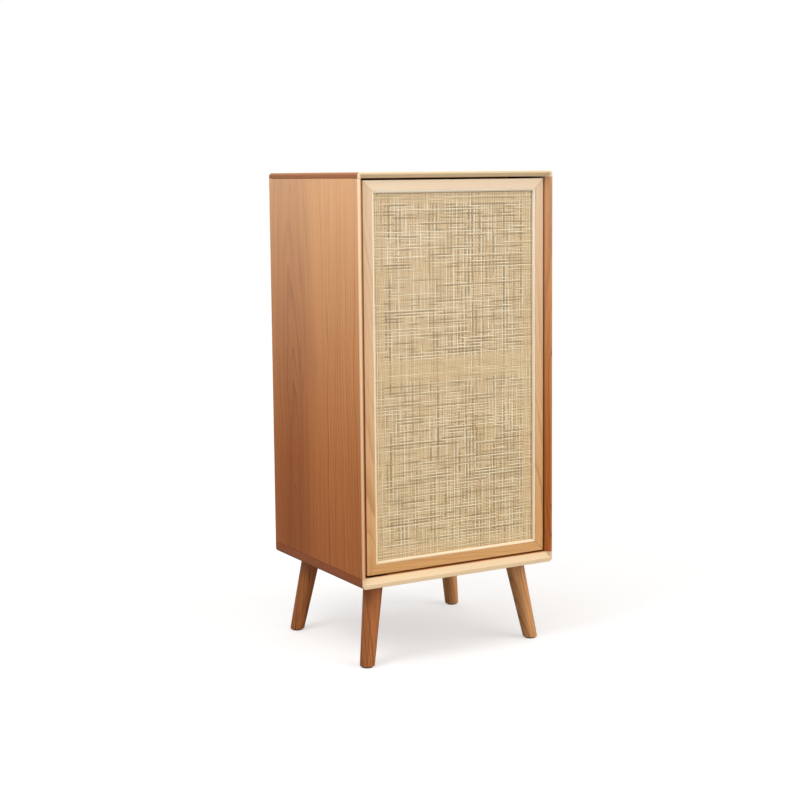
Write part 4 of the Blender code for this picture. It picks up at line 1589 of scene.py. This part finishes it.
@dataclass
class Fittings:
    """Pivot hinges, push latch, strike, leg bolts and their screws."""

    trees: Trees
    effects: Effects
    screw: Fitting = field(default_factory=lambda: Fitting(
        "countersunk_screw", [(0.0, -0.0002), (0.0006, -0.0002), (0.0013, -0.0001),
                              (0.0019, -0.0003), (0.0022, -0.0006), (0.0010, -0.0019),
                              (0.0, -0.0019)], segments=16, slot_width=0.0004, slot_depth=0.0007))
    leaf_ease: float = 0.0004
    latch_ease: float = 0.0012
    plunger_ease: float = 0.0009
    plate_ease: float = 0.0005
    screw_from_pin: float = 0.002
    screw_from_tip: float = 0.006
    screw_proud: float = 0.0001

    def build(self) -> None:
        """Make every fitting."""
        zinc = SATIN_ZINC.material(self.effects)
        bronze = DARK_BRONZE.material(self.effects)
        for end in ("top", "bottom"):
            for body, kind in ((Body.CASE, "case"), (Body.DOOR, "door")):
                node = f"hinge_{kind}_leaf_{end}"
                leaf = eased_copy(node, node + "_finished", self.leaf_ease, bronze)
                finish_piece(leaf, body)
        self._leaf_screws(bronze)
        self._latch()
        self._bolts(zinc)

    def _leaf_screws(self, metal: bpy.types.Material) -> None:
        """Put two screws in each hinge leaf, on the face that shows in the gap.

        Args:
            metal: The screws' material.
        """
        for body, kind in ((Body.CASE, "case"), (Body.DOOR, "door")):
            places = []
            facings = []
            for end, up in (("top", 1), ("bottom", -1)):
                low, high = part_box(f"hinge_{kind}_leaf_{end}")
                middle = centre_of(f"hinge_{kind}_leaf_{end}")
                if kind == "case":
                    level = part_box(f"{end}_panel")[0][2] if up > 0 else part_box("bottom_panel")[1][2]
                else:
                    level = high[2] if up > 0 else low[2]
                away = -up if kind == "case" else up
                for x in (middle.x + self.screw_from_pin, high[0] - self.screw_from_tip):
                    places.append(Vector((x, middle.y, level + away * self.screw_proud)))
                    facings.append(Vector((0.0, 0.0, away)))
            piece = self.screw.scatter(
                self.trees, f"hinge_{kind}_screws", places, facings, metal)
            finish_piece(piece, body)

    def _latch(self) -> None:
        """Make the latch body, its plunger and the strike."""
        shell = eased_copy("latch_body", "latch_body_finished", self.latch_ease,
                           LATCH_SHELL.material(self.effects), segments=3)
        finish_piece(shell, Body.CASE)
        plunger = eased_copy("latch_plunger", "latch_plunger_finished", self.plunger_ease,
                             PLUNGER_RUBBER.material(self.effects), segments=3)
        finish_piece(plunger, Body.PLUNGER)
        dull = replace(DARK_BRONZE, name="strike_bronze").material(self.effects)
        strike = eased_copy("strike_plate", "strike_plate_finished", self.plate_ease, dull)
        finish_piece(strike, Body.DOOR)

    def _bolts(self, metal: bpy.types.Material) -> None:
        """Finish the bolts that are hidden in the legs.

        Args:
            metal: The bolts' material.
        """
        for end in ("front", "rear"):
            for side in Side:
                node = f"leg_bolt_{end}_{side.name.lower()}"
                bolt = eased_copy(node, node + "_finished", self.plate_ease, metal)
                finish_piece(bolt, Body.CASE)


@dataclass
class Legs:
    """Four turned, tapered legs that lean outwards, each on a glide."""

    effects: Effects
    segments: int = 64
    foot_round: float = 0.0025
    foot_steps: int = 4
    rings: int = 10
    glide_ease: float = 0.0008
    first_heart: Place = (-0.02, 0.03, 0.0)
    heart_step: Place = (0.035, -0.022, 0.11)
    same_level: float = 0.0001
    above_foot: Span = (0.0015, 0.0025)

    def build(self) -> None:
        """Make the legs and the glides."""
        nylon = GLIDE_NYLON.material(self.effects)
        for number, (end, side) in enumerate(
                (end, side) for end in ("front", "rear") for side in Side):
            label = f"{end}_{side.name.lower()}"
            # Left legs take the darker painted-shade copy, right legs the paler painted-light copy.
            self._leg(label, number, SHADED_LEG_ASH if side is Side.LEFT else LIT_LEG_ASH)
            glide = eased_copy("glide_" + label, f"glide_{label}_finished", self.glide_ease, nylon)
            finish_piece(glide, Body.CASE)

    def _leg(self, label: str, number: int, wood: WoodFinish) -> None:
        """Turn one leg on the lathe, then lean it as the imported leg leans.

        Args:
            label: The leg's end and side, as in its node's name.
            number: Count of legs made before it, which picks its part of the tree.
            wood: The finish that its own is based on.
        """
        node = "leg_" + label
        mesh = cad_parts[node].data
        low_z = min(vert.co.z for vert in mesh.vertices)
        high_z = max(vert.co.z for vert in mesh.vertices)
        top_centre, top_radius = self._ring(mesh, high_z)
        foot_centre, _ = self._ring(mesh, low_z)
        foot_radius = self._widest(mesh, foot_centre, low_z)
        height = high_z - low_z
        outline = [(0.0, 0.0)]
        outline += arc((foot_radius - self.foot_round, self.foot_round), self.foot_round,
                       -90.0, 0.0, self.foot_steps)
        for ring in range(1, self.rings):
            share = ring / self.rings
            outline.append((foot_radius + (top_radius - foot_radius) * share, height * share))
        outline += [(top_radius, height), (0.0, height)]
        bm = lathe(outline, self.segments)
        grain = bm.verts.layers.float_vector.new(GRAIN_ATTRIBUTE)
        lean = (top_centre - foot_centre) / height
        for vert in bm.verts:
            vert[grain] = vert.co.copy()
            rise = vert.co.z
            vert.co += Vector((foot_centre.x + lean.x * rise, foot_centre.y + lean.y * rise, low_z))
        start, step = self.first_heart, self.heart_step
        heart = (start[0] + step[0] * (number % 2), start[1] + step[1] * number,
                 start[2] + step[2] * number)
        finish = replace(wood, name=node + "_ash", heart=heart)
        piece = new_piece(node + "_finished", mesh_from(bm, node + "_finished"),
                          finish.material(self.effects))
        piece.data.shade_smooth()
        piece.data.set_sharp_from_angle(angle=LEG_SHARP_ANGLE)
        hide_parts(node)
        finish_piece(piece, Body.CASE)

    def _ring(self, mesh: bpy.types.Mesh, level: float) -> tuple[Vector, float]:
        """Measure a packed leg at one level.

        Args:
            mesh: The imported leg's mesh.
            level: The height to measure at.

        Returns:
            The middle and the radius of its outline there.
        """
        ring = [vert.co for vert in mesh.vertices if abs(vert.co.z - level) < self.same_level]
        low = Vector((min(co.x for co in ring), min(co.y for co in ring), level))
        high = Vector((max(co.x for co in ring), max(co.y for co in ring), level))
        return (low + high) / 2, (high.x - low.x) / 2

    def _widest(self, mesh: bpy.types.Mesh, centre: Vector, low: float) -> float:
        """Measure a packed leg just above the rounding of its foot.

        Args:
            mesh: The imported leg's mesh.
            centre: Middle of the foot.
            low: Height of the foot.

        Returns:
            The leg's radius there.
        """
        start, end = self.above_foot
        near = [vert.co for vert in mesh.vertices if start < vert.co.z - low < end]
        return max((co.xy - centre.xy).length for co in near)


# --- Stage ----------------------------------------------------------------------------------


@dataclass(frozen=True)
class Sun:
    """A broad, distant light from one direction, with its spread in degrees."""

    name: str
    source: Place
    strength: float
    spread: float
    glossy: bool = True
    colour: Colour = (1.0, 0.98, 0.95)


@dataclass(frozen=True)
class Softbox:
    """A square soft light that shows in no reflection, aimed at one spot."""

    name: str
    place: Place
    power: float
    size: float
    aim: Place


@dataclass
class Stage:
    """Floor, light and camera."""

    camera_place: Place = (-1.725, -2.950, 0.998)
    heading: float = 29.96
    pitch: float = -6.64
    roll: float = -0.55
    rise: float = -0.05
    lens: float = 72.36
    suns: tuple[Sun, ...] = (
        Sun("key_light", (0.56, -0.76, 0.38), 1.97, 52.0, glossy=False),
        Sun("top_light", (-0.20, -0.15, 1.0), 0.9, 50.0))
    softbox: Softbox = Softbox("left_softbox", (-1.5, -0.5, 1.9), 20.5, 0.9, (-0.24, 0.0, 0.85))
    floor_size: float = 40.0
    floor_colour: Colour = (0.50, 0.50, 0.50)
    floor_cloud: Colour = (0.45, 0.445, 0.44)
    floor_cloud_scale: float = 1.3
    floor_cloud_show: Span = (0.3, 0.7)
    floor_cloud_tint: float = 0.03
    floor_roughness: float = 0.75
    floor_glow: Colour = (0.52, 0.515, 0.51)
    bounced_colour: Colour = (0.34, 0.32, 0.30)
    sky_light: float = 0.50
    sky_seen: float = 1.01
    sky_colour: Colour = (1.0, 0.998, 0.993)

    def build(self) -> None:
        """Set up the whole stage."""
        self._floor()
        self._sky()
        for sun in self.suns:
            self._hang_sun(sun)
        self._hang_softbox()
        self._camera()

    def _floor(self) -> None:
        """Lay a plain pale floor, which glows a little for the camera only."""
        bm = bmesh.new()
        bmesh.ops.create_grid(bm, x_segments=1, y_segments=1, size=self.floor_size / 2)
        mesh = bpy.data.meshes.new("floor")
        bm.to_mesh(mesh)
        bm.free()
        material, build, shader = new_material("floor_paint")
        place = build.add("ShaderNodeTexCoord").outputs["Object"]
        cloud = build.noise(place, self.floor_cloud_scale)
        shade = build.mix(build.remap(cloud, *self.floor_cloud_show, 0.0, self.floor_cloud_tint),
                          rgba(self.floor_colour), rgba(self.floor_cloud))
        seen = build.add("ShaderNodeLightPath").outputs["Is Camera Ray"]
        build.tree.links.new(build.mix(seen, rgba(self.bounced_colour), shade),
                             shader.inputs["Base Color"])
        shader.inputs["Roughness"].default_value = self.floor_roughness
        shader.inputs["Emission Strength"].default_value = 1.0
        build.tree.links.new(build.mix(seen, rgba(BLACK), rgba(self.floor_glow)),
                             shader.inputs["Emission Color"])
        new_piece("floor", mesh, material)

    def _sky(self) -> None:
        """Light everything softly from a plain pale sky."""
        world = bpy.data.worlds.new("studio")
        world.use_nodes = True
        bpy.context.scene.world = world
        build = NodeBuilder(world.node_tree)
        seen = build.add("ShaderNodeLightPath").outputs["Is Camera Ray"]
        strength = build.math("MULTIPLY_ADD", seen, self.sky_seen - self.sky_light, self.sky_light)
        background = world.node_tree.nodes["Background"]
        background.inputs["Color"].default_value = rgba(self.sky_colour)
        world.node_tree.links.new(strength, background.inputs["Strength"])

    @staticmethod
    def _hang_sun(sun: Sun) -> None:
        """Add a broad, distant light.

        Args:
            sun: Its direction, strength and spread.
        """
        data = bpy.data.lights.new(sun.name, "SUN")
        data.energy = sun.strength
        data.angle = math.radians(sun.spread)
        data.color = sun.colour
        light = bpy.data.objects.new(sun.name, data)
        light.visible_glossy = sun.glossy
        light.rotation_euler = Vector(sun.source).to_track_quat("Z", "Y").to_euler()
        bpy.context.scene.collection.objects.link(light)

    def _hang_softbox(self) -> None:
        """Add the square soft light, aimed at the upper part of the cabinet."""
        data = bpy.data.lights.new(self.softbox.name, "AREA")
        data.energy = self.softbox.power
        data.size = self.softbox.size
        light = bpy.data.objects.new(self.softbox.name, data)
        light.location = self.softbox.place
        light.visible_glossy = False
        aim = Vector(self.softbox.aim) - Vector(self.softbox.place)
        light.rotation_euler = aim.to_track_quat("-Z", "Y").to_euler()
        bpy.context.scene.collection.objects.link(light)

    def _camera(self) -> None:
        """Place the camera at the front left, level with the top."""
        data = bpy.data.cameras.new("camera")
        data.lens = self.lens
        data.shift_y = self.rise
        camera = bpy.data.objects.new("camera", data)
        camera.location = self.camera_place
        turn = Matrix.Rotation(math.radians(-self.heading), 4, "Z")
        tilt = Matrix.Rotation(math.radians(90.0 + self.pitch), 4, "X")
        twist = Matrix.Rotation(math.radians(self.roll), 4, "Z")
        camera.rotation_euler = (turn @ tilt @ twist).to_euler()
        bpy.context.scene.collection.objects.link(camera)
        bpy.context.scene.camera = camera
        bpy.context.scene.view_settings.view_transform = "Standard"


def main() -> None:
    """Build the finished cabinet and its stage."""
    logging.basicConfig(level=logging.INFO, format="%(message)s")
    trees = Trees()
    effects = Effects()
    Case(trees, effects).build()
    ShelfPins(trees, effects).build()
    Door(trees, effects).build()
    Fittings(trees, effects).build()
    Legs(effects).build()
    Stage().build()


if __name__ == "__main__":
    main()
